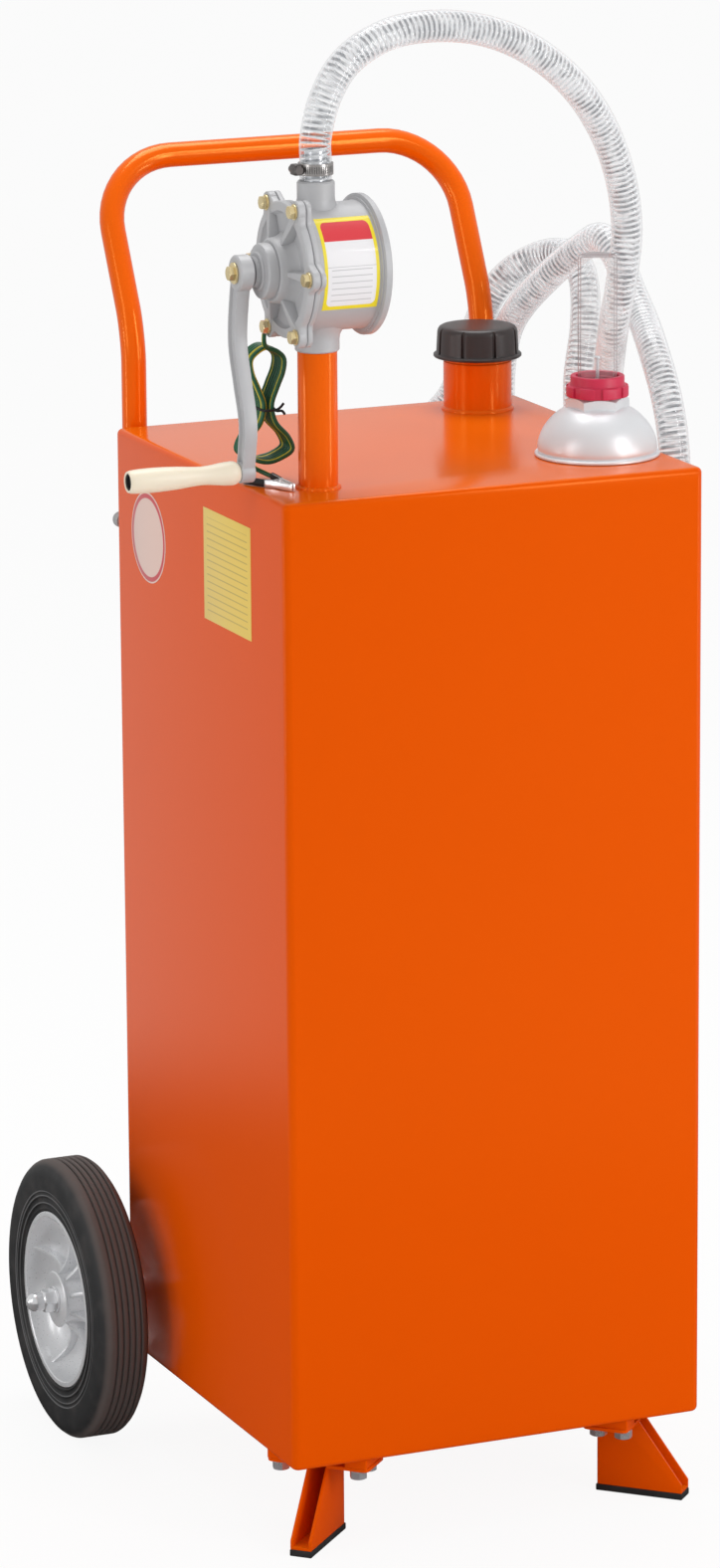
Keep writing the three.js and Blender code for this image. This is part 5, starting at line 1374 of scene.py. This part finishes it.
tie_z = 986
tie = tube_along([Vector(place) for place in smooth_route([
    (-162.2, -99.4, tie_z), (-161.2, -97, tie_z + 0.4), (-161, -84, tie_z + 0.8),
    (-161.4, -71.5, tie_z + 0.6), (-163, -69.2, tie_z), (-166, -68.6, tie_z),
    (-169.6, -69.4, tie_z), (-171, -72, tie_z - 0.2), (-171.2, -84, tie_z - 0.6),
    (-170.8, -97, tie_z - 0.4), (-169.4, -100, tie_z), (-166, -100.6, tie_z),
    (-162.4, -100.2, tie_z)], 8)], 1.1, 12)
for stub in ([(-163, -100, tie_z), (-160.4, -101.4, tie_z + 0.6), (-157.6, -102.4, tie_z + 2.8),
              (-155, -102.6, tie_z + 5.8)],
             [(-163, -100.4, tie_z), (-160.6, -102, tie_z - 0.6), (-157, -103.4, tie_z - 0.6),
              (-154.6, -103.8, tie_z - 3.6)]):
    tie = joined(tie, tube_along(smooth_route(stub, 8), 1.1, 12))
twist_tie = piece("twist_tie", tie, black_rubber, "tank", "cap_black")

# Spring clip: two bright steel levers on a pin, with a black dipped boot over each handle. It lies
# on its side on the tank's top.
clip_place = (pump_x - 27, pump_y - 9.5, 924.3)
clip_turn = 101.5
clip_high = 6.5
clip_pivot = 22
boot_start, boot_out, boot_slope = 29.6, 8.1, 0.2773


def jaw_half(side):
    """One lever of the clip, with its jaw's tip at the origin and its handle along +X."""
    outline = [
        (0, 0.5), (2, 1.1), (4, 0.4), (6, 1.1), (8, 0.4), (10, 1.1), (12, 0.4), (18, 0.2),
        (clip_pivot, 0.2), (30, 6.7), (50, 12.2), (50, 15.0), (30, 9.4), (clip_pivot, 6.5),
        (12, 4.6), (2, 2.6), (0, 2.3)]
    lever = pushed([(a, b * side) for a, b in outline], "Z", 0.3, clip_high - 0.3)
    return soften(lever, 0.35, 2, 40)


for side, body, word in ((1, "clip_jaw", "1"), (-1, "tank", "2")):
    lever = jaw_half(side)
    if side > 0:
        lever = joined(
            lever, soften(bar("Z", 3.4, 0, 1.3, 40, (clip_pivot, 0, 0)), 0.3, 2),
            soften(bar("Z", 3.4, clip_high - 1.3, clip_high, 40, (clip_pivot, 0, 0)), 0.3, 2),
            soften(bar("Z", 1.2, 0, clip_high, 24, (clip_pivot, 0, 0)), 0.2, 2))
    turned(lever, clip_turn)
    piece(
        f"clip_lever_{word}", moved(lever, clip_place), bright_zinc, body, "zinc_steel",
        f"clip_jaw_{word}")
    boot_line = [
        (along, out * side, clip_high / 2) for along, out in (
            (boot_start, boot_out), (36, 9.9), (44, 12.1), (51.6, 14.2))]
    boot = tube_along(smooth_route(boot_line, 8), 1, 24)
    for vert in boot.verts:
        middle_y = (boot_out + (vert.co.x - boot_start) * boot_slope) * side
        vert.co.y = middle_y + (vert.co.y - middle_y) * 2.5
        vert.co.z = clip_high / 2 + (vert.co.z - clip_high / 2) * 3.2
    turned(soften(boot, 0.6, 2, 50), clip_turn)
    piece(
        f"clip_boot_{word}", moved(boot, clip_place), black_rubber, body, "zinc_steel")

lead_line = [to_frame @ place for place in lead_route]

# Stickers on the left wall: a round one with a red ring and a yellow one with pale rules, both of
# printed vinyl film pressed on flat.


def ringed_film(name, seat, radius):
    """Pale film with a red ring close to its edge. The radius is in metres."""
    finish = Finish(name)
    _, across_way, high = finish.axes()
    inward = radius - (across_way - seat.y).hypot(high - seat.z)
    return finish.surface({
        "Base Color": finish.mixed(
            inward.band(0.0012, 0.0052, 0.0004), tint(232, 200, 188), tint(205, 70, 78)),
        "Roughness": 0.34 + finish.noise(900.0, 2.0) * 0.12,
        "Coat Weight": 0.3,
        "Normal": finish.bump(finish.noise(120.0), 0.00005, 0.4),
    })


def ruled_film(name, low, high, pitch, margin):
    """Yellow film with pale blank rules printed across it, inside a margin."""
    finish = Finish(name)
    _, across_way, up_way = finish.axes()
    inside = (
        (across_way - low[0]).ease(margin, margin + 0.001)
        * (high[0] - across_way).ease(margin, margin + 0.001)
        * (up_way - low[1]).ease(margin, margin + 0.001)
        * (high[1] - up_way).ease(margin, margin + 0.001))
    rule = (up_way / pitch).only("FRACT").band(0.4, 0.56, 0.06) * inside
    colour = finish.mixed(rule * 0.55, tint(236, 203, 92), tint(150, 128, 70))
    return finish.surface({
        "Base Color": colour,
        "Roughness": 0.4 + finish.noise(700.0) * 0.1,
        "Coat Weight": 0.3,
        "Normal": finish.bump(finish.noise(120.0), 0.00005, 0.4),
    })


round_y, round_z, round_radius = 115.5, 840, 40
sticker_thick = 0.35
round_place = to_frame @ Vector((-tank_half, round_y, round_z))
round_film = ringed_film("round_sticker_film", round_place, round_radius / 1000)
round_sticker = spun(
    [(0, -sticker_thick), (round_radius, -sticker_thick), (round_radius, sticker_thick),
     (0, sticker_thick)], "X", 96, (-tank_half, round_y, round_z))
piece("round_sticker", soften(round_sticker, 0.15, 2), round_film, "tank", "orange_paint")

ruled_low, ruled_high = (-118.6, 794), (-13.5, 891)
ruled = box(
    (-tank_half - sticker_thick, ruled_low[0], ruled_low[1]),
    (-tank_half + sticker_thick, ruled_high[0], ruled_high[1]))
corner_low = to_frame @ Vector((0, *ruled_low))
corner_high = to_frame @ Vector((0, *ruled_high))
yellow_film = ruled_film(
    "ruled_sticker_film", corner_low.yz, corner_high.yz, 0.0062, 0.007)
piece("ruled_sticker", soften(ruled, 0.15, 2), yellow_film, "tank", "orange_paint")
